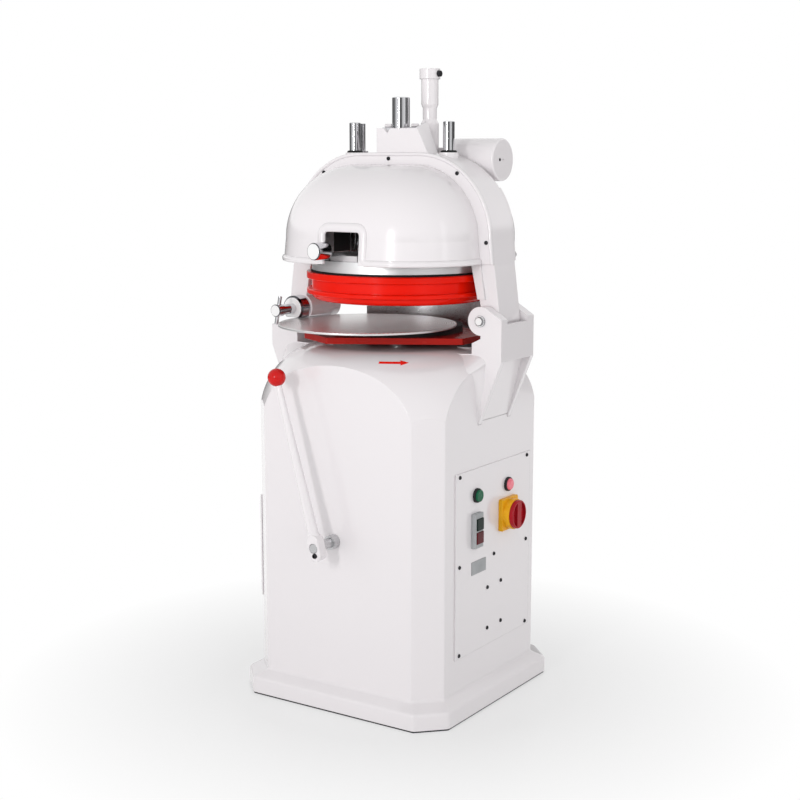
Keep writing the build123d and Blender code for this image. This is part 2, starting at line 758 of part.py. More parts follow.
def make_main_shaft():
    """The upright main shaft with the eccentric that carries the table."""
    shaft = rod_z(0, HEAD_Y, PULLEY_Z - WALL, BODY_TOP, SHAFT_R)
    shaft += rod_z(0, HEAD_Y, BODY_TOP, BODY_TOP + CRANK_BOSS_H, ECCENTRIC_R + THROW + WALL / 2)
    return shaft + rod_z(ECCENTRIC_X, HEAD_Y, BODY_TOP, TABLE_Z + TABLE_T / 2, ECCENTRIC_R)


def make_bearing(z0, z1):
    """A flanged bearing round the main shaft."""
    ring = rod_z(0, HEAD_Y, z0, z1, BEARING_R)
    return ring - rod_z(0, HEAD_Y, z0 - 1, z1 + 1, SHAFT_R + FIT)


def make_bridge():
    """The cross beam inside the cabinet that carries the lower bearing."""
    beam = block(-BRIDGE_W / 2, BRIDGE_W / 2, -INNER, INNER, BRIDGE_Z, BRIDGE_Z + BRIDGE_T)
    return beam - rod_z(0, HEAD_Y, BRIDGE_Z - 1, BRIDGE_Z + BRIDGE_T + 1, SHAFT_R + WALL)


def make_crank(index):
    """One of the cranks that keep the table level and from turning."""
    x, y = crank_place(index)
    boss = BODY_TOP + CRANK_BOSS_H
    crank = rod_z(x, y, BODY_TOP - 3 * WALL, boss, CRANK_PIN_R)
    crank += rod_z(x, y, boss + SEAT, TABLE_Z - SEAT, CRANK_R)
    crank += rod_z(x, y, boss - SEAT, boss + 2 * SEAT, CRANK_PIN_R)
    return crank + rod_z(x - THROW, y, TABLE_Z - 2 * SEAT, TABLE_TOP - WALL / 2, CRANK_PIN_R)


def make_table():
    """The red six-sided table that is swung round by the eccentric."""
    reach = 2 * TABLE_SHORT
    face = Rectangle(2 * reach, 2 * reach)
    for index in range(3):
        long_cut = Pos(0, -TABLE_LONG - reach) * Rectangle(4 * reach, 2 * reach)
        face -= Rot(0, 0, 30 + 120 * index) * long_cut
        short_cut = Pos(0, -TABLE_SHORT - reach) * Rectangle(4 * reach, 2 * reach)
        face -= Rot(0, 0, 90 + 120 * index) * short_cut
    face = fillet(face.vertices(), TABLE_CORNER_R)
    table = Pos(ECCENTRIC_X, HEAD_Y, 0) * slab_z(face, TABLE_Z, TABLE_TOP)
    table -= rod_z(ECCENTRIC_X, HEAD_Y, TABLE_Z - 1, TABLE_Z + TABLE_T / 2 + SEAT, ECCENTRIC_R + FIT)
    for index in range(CRANK_COUNT):
        x, y = crank_place(index)
        table -= rod_z(x - THROW, y, TABLE_Z - 1, TABLE_TOP - WALL / 2 + SEAT, CRANK_PIN_R + FIT)
    return table


def make_pad():
    """The black rubber pad between the table and the moulding plate."""
    return rod_z(ECCENTRIC_X, HEAD_Y, TABLE_TOP, PLATE_Z - SEAT, PAD_R)


def make_moulding_plate():
    """The round moulding plate, drawn part of the way out toward the front left."""
    angle = radians(PULL_ANGLE)
    x = ECCENTRIC_X - PLATE_PULL * sin(angle)
    y = HEAD_Y - PLATE_PULL * cos(angle)
    plate = rod_z(x, y, PLATE_Z, PLATE_TOP, PLATE_R)
    return fillet(plate.edges(), PLATE_T / 4)


def make_lever_bush():
    """The steel bush of the lever shaft on the front of the cabinet."""
    bush = rod_y(LEVER_X, BUSH_FRONT, -HALF, LEVER_Z, BUSH_R)
    return bush - rod_y(LEVER_X, BUSH_FRONT - 1, -HALF + 1, LEVER_Z, LEVER_SHAFT_R + FIT)


def make_lever_shaft():
    """The shaft of the rounding lever, with the arm inside that lifts the clutch."""
    y1 = -HALF + LEVER_IN
    shaft = rod_y(LEVER_X, LEVER_Y - EYE_T / 2, y1, LEVER_Z, LEVER_SHAFT_R)
    shaft = chamfer(shaft.edges(), LEVER_SHAFT_R / 8)
    shaft += rod_y(LEVER_X, y1 - 2 * FORK_T, y1 - FORK_T, LEVER_Z, BUSH_R)
    return shaft + block(LEVER_X - FORK_LEN, LEVER_X, y1 - 2 * FORK_T, y1 - FORK_T,
                         LEVER_Z - FORK_T / 2, LEVER_Z + FORK_T / 2)


def lean():
    """The lever's lean to the left about its shaft."""
    return Pos(LEVER_X, LEVER_Y, LEVER_Z) * Rot(0, -ROD_LEAN, 0)


def make_rounding_lever():
    """The tapered lever rod with the eye that is clamped on the shaft."""
    half = EYE_T / 2
    eye = slab_y(SlotOverall(EYE_H, EYE_W, rotation=90), -half, half)
    eye = fillet(eye.edges().filter_by(GeomType.LINE, reverse=True), EYE_T / 10)
    rod_foot = EYE_H / 2 - EYE_W / 3
    rod_top = ROD_LEN - BALL_R / 2
    rod = Pos(0, 0, (rod_foot + rod_top) / 2) * Cone(ROD_FOOT_R, ROD_TOP_R, rod_top - rod_foot)
    lever = eye + rod
    lever -= rod_y(0, -EYE_T, EYE_T, 0, LEVER_SHAFT_R + FIT)
    return lean() * lever


def make_lever_ball():
    """The red ball on the rounding lever."""
    top_up = (Align.CENTER, Align.CENTER, Align.MAX)
    hole = Pos(0, 0, ROD_LEN - BALL_R / 2) * Cylinder(ROD_TOP_R + SEAT, 2 * BALL_R, align=top_up)
    ball = Pos(0, 0, ROD_LEN) * Sphere(BALL_R)
    return lean() * (ball - hole)


def make_hinge_pin():
    """The hinge pin of the head with its washer."""
    pin = rod_y(HINGE_X, BRACKET_Y0 - PIN_OUT, BRACKET_Y1 + PIN_OUT / 2, HINGE_Z, PIN_R)
    pin = chamfer(pin.edges(), PIN_R / 8)
    return pin + rod_y(HINGE_X, BRACKET_Y0 - WASHER_T, BRACKET_Y0, HINGE_Z, WASHER_R)


def arch(half, radius):
    """A flat-topped arch that stands on the level of the yoke's middle."""
    base = Line((-half - radius, YOKE_MID), (half + radius, YOKE_MID))
    right = CenterArc((half, YOKE_MID), radius, 0, 90)
    top = Line((half, YOKE_MID + radius), (-half, YOKE_MID + radius))
    left = CenterArc((-half, YOKE_MID), radius, 90, 90)
    return make_face([base, right, top, left])


def arch_face():
    """The rounded outline of the yoke above its arms."""
    half = YOKE_FLAT + YOKE_R
    knee = half + YOKE_KNEE_OUT
    under = polygon([(half, YOKE_MID), (knee, KNEE_Z), (-knee, KNEE_Z), (-half, YOKE_MID)])
    return arch(YOKE_FLAT, YOKE_R) + under


def tower_face():
    """The outline of the wall that stands in front of the press lever, with a V cut in its top."""
    top = YOKE_TOP + TOWER_RISE
    low = YOKE_TOP - GAP_FLOOR - WALL
    points = [(TOWER_X0, low), (TOWER_X1, low), (TOWER_X1, top), (VEE_X + VEE_HALF, top)]
    points += [(VEE_X, top - VEE_DEPTH), (VEE_X - VEE_HALF, top), (TOWER_X0, top)]
    return polygon(points)


def tower_side():
    """The splayed side wall on the right of the tower, which rises toward the back."""
    low = YOKE_TOP - WALL
    sections = []
    for y, rise in ((YOKE_FRONT, 0), (YOKE_FRONT + TOWER_SIDE_L, TOWER_SIDE_RISE)):
        top = YOKE_TOP + TOWER_RISE + rise
        inner = TOWER_X1 - TOWER_SIDE_T
        points = [(inner, low), (TOWER_X1 + TOWER_SPLAY, low), (TOWER_X1, top), (inner, top)]
        sections.append(Plane(origin=(0, y, 0), x_dir=(1, 0, 0), z_dir=(0, -1, 0)) * polygon(points))
    return loft(sections, ruled=True)


def make_yoke():
    """The arched yoke that carries the ring unit, with its two arms and the lever cheeks."""
    face = arch_face()
    knee = YOKE_FLAT + YOKE_R + YOKE_KNEE_OUT
    for side in (-1, 1):
        lug_out = side * (HINGE_X + LUG_R)
        inner = side * YOKE_INNER
        foot = inner + side * YOKE_ARM_LEAN
        face += polygon([(side * knee, KNEE_Z), (lug_out, HINGE_Z), (foot, HINGE_Z), (inner, KNEE_Z)])
        face += Pos(side * HINGE_X, HINGE_Z) * Circle(LUG_R)
    opening_top = YOKE_TOP - YOKE_BEAM
    opening = RectangleRounded(2 * YOKE_INNER, opening_top - BODY_TOP, YOKE_CORNER)
    opening = Pos(0, (opening_top + BODY_TOP) / 2) * opening
    face -= opening
    face -= Pos(0, YOKE_TOP) * Rectangle(2 * (GAP_HALF + GAP_EASE), 2 * GAP_FLOOR)
    face -= Pos(-HINGE_X, HINGE_Z - LUG_FLAT - LUG_R) * Rectangle(4 * LUG_R, 2 * LUG_R)
    yoke = slab_y(face, YOKE_FRONT, YOKE_BACK)
    yoke += slab_y(tower_face(), YOKE_FRONT, YOKE_FRONT + TOWER_T) + tower_side()
    for side in (-1, 1):
        yoke += rod_z(side * GUIDE_X, HEAD_Y, YOKE_TOP - GUIDE_BOSS_H, YOKE_TOP, GUIDE_BOSS_R)
        x0 = min(side * GAP_HALF, side * (GAP_HALF + CHEEK_T))
        yoke += block(x0, x0 + CHEEK_T, YOKE_BACK - WALL, PIVOT_Y, PIVOT_Z - CHEEK_R, PIVOT_Z + CHEEK_R)
        yoke += rod_x(x0, x0 + CHEEK_T, PIVOT_Y, PIVOT_Z, CHEEK_R)
        yoke -= rod_z(side * GUIDE_X, HEAD_Y, opening_top - 1, YOKE_TOP + 1, GUIDE_R + FIT)
    yoke += rod_z(STOP_X, HEAD_Y + STOP_BACK, YOKE_TOP - STOP_FLANGE_R, YOKE_TOP, STOP_FLANGE_R)
    yoke -= rod_x(-2 * GAP_HALF, 2 * GAP_HALF, PIVOT_Y, PIVOT_Z, PIVOT_R + FIT)
    yoke -= rod_z(0, HEAD_Y, opening_top - 1, YOKE_TOP, COLUMN_R + FIT)
    yoke -= rod_y(HINGE_X, YOKE_FRONT - 1, YOKE_BACK + 1, HINGE_Z, PIN_R + FIT)
    return yoke - rod_y(-HINGE_X, YOKE_FRONT - 1, YOKE_BACK + 1, HINGE_Z, LOCK_R + FIT)


def hood_plan(radius, depth):
    """The rounded plan of a hood, drawn forward of its back edge."""
    side = HOOD_HALF + radius
    back = Polyline((side, 0), (side, depth), (-side, depth), (-side, 0))
    left = CenterArc((-HOOD_HALF, 0), radius, 180, 90)
    front = Line((-HOOD_HALF, -radius), (HOOD_HALF, -radius))
    right = CenterArc((HOOD_HALF, 0), radius, 270, 90)
    return make_face([back, left, front, right])


def hood_form(radius, depth, flare, foot_z):
    """A hood as a solid: a capsule half over walls that may flare, open toward +Y."""
    front = block(-HOOD_HALF, HOOD_HALF, -radius - 1, 0, YOKE_MID, YOKE_MID + radius + 1)
    upper = rod_x(-HOOD_HALF, HOOD_HALF, 0, YOKE_MID, radius) & front
    for side, turn in ((-1, 180), (1, 270)):
        corner = Sphere(radius, arc_size1=0, arc_size2=90, arc_size3=90, align=None)
        upper += Pos(side * HOOD_HALF, 0, YOKE_MID) * Rot(0, 0, turn) * corner
    upper += slab_y(arch(HOOD_HALF, radius), 0, depth)
    top = Pos(0, 0, YOKE_MID) * hood_plan(radius, depth)
    foot = Pos(0, 0, foot_z) * hood_plan(radius + flare, depth)
    return upper + loft([foot, top], ruled=True)


def hood_shell(flare, foot_z):
    """A hood over the yoke: its outer form and flange, and the hollow to take out of them."""
    place = Pos(0, -HOOD_AXIS, 0)
    form = place * hood_form(HOOD_R, HOOD_AXIS, flare, foot_z)
    below = Pos(0, foot_z - YOKE_R) * Rectangle(6 * YOKE_R, 2 * YOKE_R)
    form += slab_y(arch_face() - below, -FLANGE_T, 0)
    return form, place * hood_form(HOOD_R - HOOD_WALL, HOOD_AXIS + 1, flare, foot_z)


def hood_lip(flare, foot_z, region):
    """The raised lip of a hood, kept inside a region."""
    return (Pos(0, -HOOD_AXIS, 0) * hood_form(HOOD_R + LIP_T, HOOD_AXIS - FLANGE_T, flare, foot_z)) & region


def notch_outline(margin):
    """The outline of the notch for the regulating lever, made larger by a margin."""
    half = NOTCH_HALF + margin
    top = YOKE_MID + NOTCH_TOP + margin
    low = HOOD_Z - HOOD_DROP
    return Pos(0, (top + low) / 2) * RectangleRounded(2 * half, top - low, NOTCH_R + margin)


def make_front_hood():
    """The front hood with its lip and the notch for the regulating lever."""
    form, hollow = hood_shell(HOOD_FLARE, HOOD_Z)
    wide = 2 * YOKE_R
    reach = -HOOD_AXIS - HOOD_R / 2
    edge = block(-wide, wide, -wide, wide, HOOD_Z, HOOD_Z + LIP_H)
    rim = slab_y(notch_outline(LIP_H), -wide, reach) & block(-wide, wide, -wide, wide, HOOD_Z, YOKE_TOP)
    form += hood_lip(HOOD_FLARE, HOOD_Z, edge + rim)
    hood = form - hollow - slab_y(notch_outline(0), -wide, reach)
    return Pos(0, YOKE_FRONT, 0) * hood


def make_rear_hood():
    """The lower, flat-topped hood behind the yoke."""
    foot = HOOD_Z + REAR_HOOD_LIFT
    top = PIVOT_Z - SPRING_R - REAR_HOOD_GAP
    wide = 2 * YOKE_R
    form, hollow = hood_shell(0, foot)
    form += hood_lip(0, foot, block(-wide, wide, -wide, wide, foot, foot + LIP_H))
    form = form & block(-wide, wide, -wide, wide, foot, top)
    hollow = hollow & block(-wide, wide, -wide, wide, foot - 1, top - HOOD_WALL)
    return Pos(0, YOKE_BACK, 0) * Rot(0, 0, 180) * (form - hollow)


def make_hood_screws():
    """The five screws on the rim of the front hood."""
    y1 = YOKE_FRONT - FLANGE_T
    rim = YOKE_R - FLANGE_W / 2
    places = [(0, YOKE_TOP - FLANGE_W / 2)]
    turn = radians(FLANGE_SCREW_ANGLE)
    for side in (-1, 1):
        places.append((side * (YOKE_FLAT + rim * cos(turn)), YOKE_MID + rim * sin(turn)))
        places.append((side * (YOKE_FLAT + rim), YOKE_MID - WALL))
    screws = []
    for x, z in places:
        head = rod_y(x, y1 - SCREW_H, y1, z, SCREW_R)
        screws.append(chamfer(head.edges().sort_by(Axis.Y)[0], SCREW_H / 3))
    return Compound(screws)


def make_ring():
    """The red dough ring with its two flanges."""
    foot_top = RING_Z + RING_FOOT_H
    mid_top = foot_top + RING_MID_T
    top_low = RING_TOP - RING_TOP_T
    span = RING_WALL_R - RING_FOOT_R
    bowl = EllipticalCenterArc((RING_FOOT_R, foot_top), span, RING_FOOT_H, start_angle=270, arc_size=90)
    points = [(RING_WALL_R, foot_top), (RING_FLANGE_R, foot_top), (RING_FLANGE_R, mid_top)]
    points += [(RING_WALL_R, mid_top), (RING_WALL_R, top_low), (RING_FLANGE_R, top_low)]
    points += [(RING_FLANGE_R, RING_TOP), (RING_BORE_R, RING_TOP)]
    points += [(RING_BORE_R, RING_Z), (RING_FOOT_R, RING_Z)]
    face = make_face([bowl, Polyline(*points)])
    face = fillet(face.vertices().group_by(Axis.X)[-1], RING_EDGE)
    return Pos(0, HEAD_Y, 0) * revolve(Plane.XZ * face, Axis.Z)


def make_seal():
    """The dark seal between the ring and its clamp ring."""
    return turned([(RING_BORE_R, RING_TOP), (SEAL_R, RING_TOP), (SEAL_R, CLAMP_Z), (RING_BORE_R, CLAMP_Z)])


def make_clamp_ring():
    """The steel clamp ring over the seal."""
    return turned([(RING_BORE_R, CLAMP_Z), (CLAMP_R, CLAMP_Z), (CLAMP_R, HEAD_Z), (RING_BORE_R, HEAD_Z)])


def make_head_plate():
    """The plate over the ring that carries the guide rods and the regulating lever."""
    boss_top = REG_Z + REG_T + HEAD_BOSS_H
    plate = rod_z(0, HEAD_Y, HEAD_Z, HEAD_TOP, SEAL_R)
    plate += rod_z(0, HEAD_Y, HEAD_TOP, HEAD_TOP + REG_UP, REG_HUB_R)
    plate += rod_z(0, HEAD_Y, HEAD_TOP, boss_top, HEAD_BOSS_R)
    plate -= rod_z(0, HEAD_Y, HEAD_Z - 1, boss_top + 1, COLUMN_R + FIT)
    for side in (-1, 1):
        plate -= rod_z(side * GUIDE_X, HEAD_Y, HEAD_Z + HEAD_PLATE_T / 4, HEAD_TOP + 1, GUIDE_R + FIT)
    return plate


def sector_lines():
    """Each straight knife as its angle and its inner and outer radius."""
    lines = []
    bands = [(1, 0, KNIFE_R1), (2, KNIFE_R1, KNIFE_R2), (3, KNIFE_R2, RING_BORE_R)]
    for factor, inner, outer in bands:
        count = SECTORS * factor
        for index in range(count):
            lines.append((360 / count * index, inner, outer))
    return lines


def knife_grid(z0, z1, width, outer_r):
    """Straight and round knives as one grid of a given thickness."""
    half = width / 2
    grid = rod_z(0, HEAD_Y, z0, z1, width)
    for radius in (KNIFE_R1, KNIFE_R2):
        grid += rod_z(0, HEAD_Y, z0, z1, radius + half) - rod_z(0, HEAD_Y, z0 - 1, z1 + 1, radius - half)
    for angle, inner, outer in sector_lines():
        grid += about_head(angle) * block(-half, half, -min(outer, outer_r), -inner, z0, z1)
    return grid


def stem_places():
    """Centres of the stems that carry the knives."""
    places = []
    for index in range(SECTORS):
        angle = radians(360 / SECTORS * index)
        places.append((STEM_AT * sin(angle), HEAD_Y - STEM_AT * cos(angle)))
    return places


def make_press_plate():
    """The press plate inside the ring, grooved for the knives."""
    low = RING_Z + PRESS_UP
    high = low + PRESS_T
    plate = rod_z(0, HEAD_Y, low, high, RING_BORE_R - PRESS_GAP)
    plate -= knife_grid(low - 1, high - PRESS_WEB, KNIFE_T + 2 * GROOVE_GAP, RING_BORE_R - PRESS_GAP - WALL)
    for x, y in stem_places():
        plate -= rod_z(x, y, low, high + 1, STEM_R + 2 * GROOVE_GAP)
    for index in range(3):
        angle = radians(SPACER_TURN + 120 * index)
        plate += rod_z(SPACER_AT * sin(angle), HEAD_Y - SPACER_AT * cos(angle), high, HEAD_Z, SPACER_R)
    return plate


def make_knife_unit():
    """The knife grid hung from its carrier plate by stems."""
    low = RING_Z + KNIFE_UP
    carrier_low = HEAD_Z - CARRIER_GAP - CARRIER_T
    grid = knife_grid(low, low + KNIFE_H, KNIFE_T, RING_BORE_R - PRESS_GAP - 2 * WALL)
    for x, y in stem_places():
        grid += rod_z(x, y, low + KNIFE_H - WALL, carrier_low, STEM_R)
    return grid + rod_z(0, HEAD_Y, carrier_low, carrier_low + CARRIER_T, CARRIER_R)


def make_column():
    """The centre column that drives the knives, with the cross pin that the press lever pushes."""
    low = HEAD_Z - CARRIER_GAP
    column = rod_z(0, HEAD_Y, low, YOKE_TOP + COLUMN_TOP, COLUMN_R)
    column = chamfer(column.edges().sort_by(Axis.Z)[-1], COLUMN_R / 15)
    return column + rod_x(-CROSS_HALF, CROSS_HALF, HEAD_Y, CROSS_Z, CROSS_R)


def make_guide_rod(side):
    """One of the two guide rods of the ring unit."""
    low = HEAD_Z + HEAD_PLATE_T / 4
    rod = rod_z(side * GUIDE_X, HEAD_Y, low, YOKE_TOP + GUIDE_TOP, GUIDE_R)
    return chamfer(rod.edges().sort_by(Axis.Z)[-1], GUIDE_R / 10)


def make_stop_rod():
    """The thin stop rod on top of the yoke."""
    y = HEAD_Y + STOP_BACK
    rod = rod_z(STOP_X, y, YOKE_TOP, YOKE_TOP + STOP_TOP, STOP_R)
    return rod + rod_z(STOP_X, y, YOKE_TOP, YOKE_TOP + STOP_FLANGE_T, STOP_FLANGE_R)


def make_reg_block():
    """The white block on the head plate under the regulating lever."""
    far = REG_BLOCK_AT + REG_BLOCK_L
    bar = block(-REG_BLOCK_W / 2, REG_BLOCK_W / 2, -far, -REG_BLOCK_AT, HEAD_TOP, HEAD_TOP + REG_UP - SEAT)
    return about_head(-REG_ANGLE) * bar


def make_regulating_lever():
    """The flat regulating lever that turns on the boss of the head plate."""
    low = REG_Z
    high = low + REG_T
    hub = rod_z(0, HEAD_Y, low, high, REG_HUB_R)
    arm = block(-REG_W / 2, REG_W / 2, -REG_LEN, 0, low, high)
    slot = SlotOverall(REG_SLOT_L, REG_SLOT_W, rotation=90)
    arm -= Pos(0, -REG_LEN + REG_SLOT_L, 0) * slab_z(slot, low - 1, high + 1)
    lever = hub + about_head(-REG_ANGLE) * arm
    return lever - rod_z(0, HEAD_Y, low - 1, high + 1, HEAD_BOSS_R + FIT)


def make_regulating_knob():
    """The chrome knob on the end of the regulating lever, with a slot for the lever low on its back."""
    middle = REG_Z + REG_T / 2
    y1 = -REG_LEN + REG_KNOB_LAP
    y0 = y1 - REG_KNOB_L
    knob = rod_y(0, y0, y1, middle + REG_KNOB_RISE, REG_KNOB_R)
    knob = fillet(knob.edges(), REG_KNOB_R / 6)
    slot = REG_W / 2 + FIT
    knob -= block(-slot, slot, -REG_LEN, y1 + 1, middle - REG_T / 2 - FIT, middle + REG_T / 2 + FIT)
    return about_head(-REG_ANGLE) * knob


def make_pivot_shaft():
    """The cross shaft that the press lever turns on."""
    end = GAP_HALF + CHEEK_T
    return rod_x(-end - WALL, end + SPRING_L / 2, PIVOT_Y, PIVOT_Z, PIVOT_R)


def make_spring_housing():
    """The closed round housing of the balance spring."""
    x0 = GAP_HALF + CHEEK_T
    x1 = x0 + SPRING_L
    y = PIVOT_Y + SPRING_BACK
    can = rod_x(x0, x1, y, PIVOT_Z, SPRING_R)
    can = fillet(can.edges().sort_by(Axis.X)[-1], SPRING_WALL)
    can -= rod_x(x0 + SPRING_WALL, x1 - SPRING_WALL, y, PIVOT_Z, SPRING_R - SPRING_WALL)
    can -= rod_x(x0 - 1, x0 + 2 * SPRING_WALL, PIVOT_Y, PIVOT_Z, PIVOT_R + FIT)
    return can - rod_x(x1 - 2 * SPRING_WALL, x1 + 1, y, PIVOT_Z, SPRING_WALL / 2)


def pin_in_lever(part):
    """Where the cross pin lies in the lever as drawn, at a part of the full stroke."""
    turn = radians(PRESS_TURN) * part
    y = HEAD_Y - PIVOT_Y
    z = CROSS_Z - PIVOT_Z - (RING_STROKE + CUT_STROKE) * part
    return y * cos(turn) + z * sin(turn), z * cos(turn) - y * sin(turn)


def make_press_lever():
    """The press lever: hub, two slotted arms and the socket for the hand bar."""
    hub_half = GAP_HALF - HUB_GAP
    track = [pin_in_lever(step / SLOT_STEPS) for step in range(SLOT_STEPS + 1)]
    start = track[0]
    end = track[-1]
    angle = degrees(atan2(start[1], start[0]) + atan2(end[1], end[0])) / 2
    arm = Rot(0, 0, angle) * Pos(NOSE_R / 2, 0) * Rectangle(NOSE_R, 2 * ARM_HALF_H)
    way_out = (start[0] * 2 - track[1][0], start[1] * 2 - track[1][1])
    for y, z in [way_out] + track:
        arm -= Pos(y, z) * Circle(CROSS_R + SLOT_GAP)
    arm -= trace(Spline(way_out, *track), 2 * (CROSS_R + SLOT_GAP))
    lever = rod_x(-hub_half, hub_half, 0, 0, HUB_R)
    lever += slab_x(arm, ARM_X, ARM_X + ARM_T)
    lever += slab_x(arm, -ARM_X - ARM_T, -ARM_X)
    foot_x0 = SOCKET_X - SOCKET_FOOT_R
    foot_x1 = SOCKET_X + SOCKET_FOOT_R
    lever += block(foot_x0, foot_x1, -SOCKET_FORE, 0, -HUB_R / 2, HUB_R)
    lever += Pos(0, -SOCKET_FORE, 0) * hand_socket()
    lever -= rod_x(-2 * hub_half, 2 * hub_half, 0, 0, PIVOT_R + FIT)
    return Pos(0, PIVOT_Y, PIVOT_Z) * lever


def hand_socket():
    """The upright socket for the hand bar: foot, neck, tube and collar, with the place of its set screw."""
    collar_top = SOCKET_TOP + COLLAR_H
    tube_low = SOCKET_TOP - SOCKET_TUBE_L
    socket = rod_z(SOCKET_X, 0, 0, SOCKET_FOOT_H, SOCKET_FOOT_R)
    socket += rod_z(SOCKET_X, 0, SOCKET_FOOT_H, tube_low, NECK_R)
    taper_up = Cone(NECK_R, SOCKET_R, NECK_TAPER)
    taper_down = Cone(SOCKET_FOOT_R, NECK_R, NECK_TAPER)
    socket += Pos(SOCKET_X, 0, tube_low - NECK_TAPER / 2) * taper_up
    socket += Pos(SOCKET_X, 0, SOCKET_FOOT_H + NECK_TAPER / 2) * taper_down
    socket += rod_z(SOCKET_X, 0, tube_low, SOCKET_TOP, SOCKET_R)
    socket += rod_z(SOCKET_X, 0, SOCKET_TOP, collar_top, COLLAR_R)
    socket -= rod_z(SOCKET_X, 0, collar_top - SOCKET_DEPTH, collar_top + 1, SOCKET_BORE_R)
    screw_z = SOCKET_TOP + COLLAR_H / 2
    flat_x = SOCKET_X + COLLAR_R - SET_FLAT
    socket -= rod_x(flat_x, flat_x + COLLAR_R, 0, screw_z, SET_SCREW_R + SEAT)
    return socket - rod_x(SOCKET_X, flat_x + 1, 0, screw_z, SET_SHANK_R + FIT)


def make_collar_screw():
    """The screw in the collar that clamps the hand bar."""
    y = PIVOT_Y - SOCKET_FORE
    z = PIVOT_Z + SOCKET_TOP + COLLAR_H / 2
    flat_x = SOCKET_X + COLLAR_R - SET_FLAT
    head = rod_x(flat_x, flat_x + SET_SCREW_H, y, z, SET_SCREW_R)
    head = fillet(head.edges().sort_by(Axis.X)[-1], SET_SCREW_R / 5)
    return head + rod_x(SOCKET_X + SOCKET_BORE_R + SEAT, flat_x, y, z, SET_SHANK_R)


def make_lock_boss():
    """The steel flange on the left arm, cut flat below to clear the moulding plate."""
    boss = rod_y(-HINGE_X, YOKE_FRONT - LOCK_BOSS_T, YOKE_FRONT, HINGE_Z, LOCK_BOSS_R)
    boss = chamfer(boss.edges().sort_by(Axis.Y)[0], LOCK_BOSS_T / 8)
    low = HINGE_Z - LOCK_CLEAR
    wide = 2 * LOCK_BOSS_R
    boss -= Pos(-HINGE_X, 0, 0) * block(-wide, wide, YOKE_FRONT - wide, YOKE_FRONT + wide, low - wide, low)
    return boss - rod_y(-HINGE_X, YOKE_FRONT - wide, YOKE_FRONT + 1, HINGE_Z, LOCK_R + FIT)


def make_lock_screw():
    """The lock screw with its knob and the nut that bears on the rear ear."""
    boss_front = YOKE_FRONT - LOCK_BOSS_T
    nut_y = BRACKET_Y1 + SEAT
    screw = rod_y(-HINGE_X, LOCK_END, nut_y + LOCK_NUT_T, HINGE_Z, LOCK_R)
    screw += rod_y(-HINGE_X, LOCK_END, boss_front - SEAT, HINGE_Z, LOCK_SHANK_R)
    knob = rod_y(-HINGE_X, LOCK_END, LOCK_END + LOCK_KNOB_L, HINGE_Z, LOCK_KNOB_R)
    screw += chamfer(knob.edges(), LOCK_KNOB_R / 8)
    screw += rod_y(-HINGE_X, nut_y, nut_y + LOCK_NUT_T, HINGE_Z, LOCK_NUT_R)
    return screw - tommy_place() * Cylinder(TOMMY_R + FIT, TOMMY_L)


def tommy_place():
    """The middle of the tommy bar in the knob, with the bar's lean."""
    return Pos(-HINGE_X, LOCK_END + LOCK_KNOB_L / 2, HINGE_Z) * Rot(0, TOMMY_LEAN, 0)


def make_tommy_bar():
    """The bar through the knob of the lock screw."""
    bar = Cylinder(TOMMY_R, TOMMY_L)
    return tommy_place() * fillet(bar.edges(), TOMMY_R / 3)


def make_arm_plate():
    """The thin cover plate on the front of the right arm, under the front hood."""
    high = HOOD_Z - SEAT
    low = HINGE_Z + EAR_R + ARM_PLATE_FOOT
    top_in = YOKE_INNER - ARM_PLATE_LAP
    low_in = top_in + ARM_PLATE_LEAN
    low_out = low_in + ARM_PLATE_W - ARM_PLATE_TAPER
    face = polygon([(top_in, high), (top_in + ARM_PLATE_W, high), (low_out, low), (low_in, low)])
    return slab_y(face, YOKE_FRONT - ARM_PLATE_T, YOKE_FRONT)


os.makedirs("parts", exist_ok=True)

key_middle = KEYBOX_Z - KEY_LOW
upper_bearing = make_bearing(BODY_TOP - WALL - BEARING_H, BODY_TOP - WALL)
lower_bearing = make_bearing(BRIDGE_Z + BRIDGE_T, BRIDGE_Z + BRIDGE_T + BEARING_H)

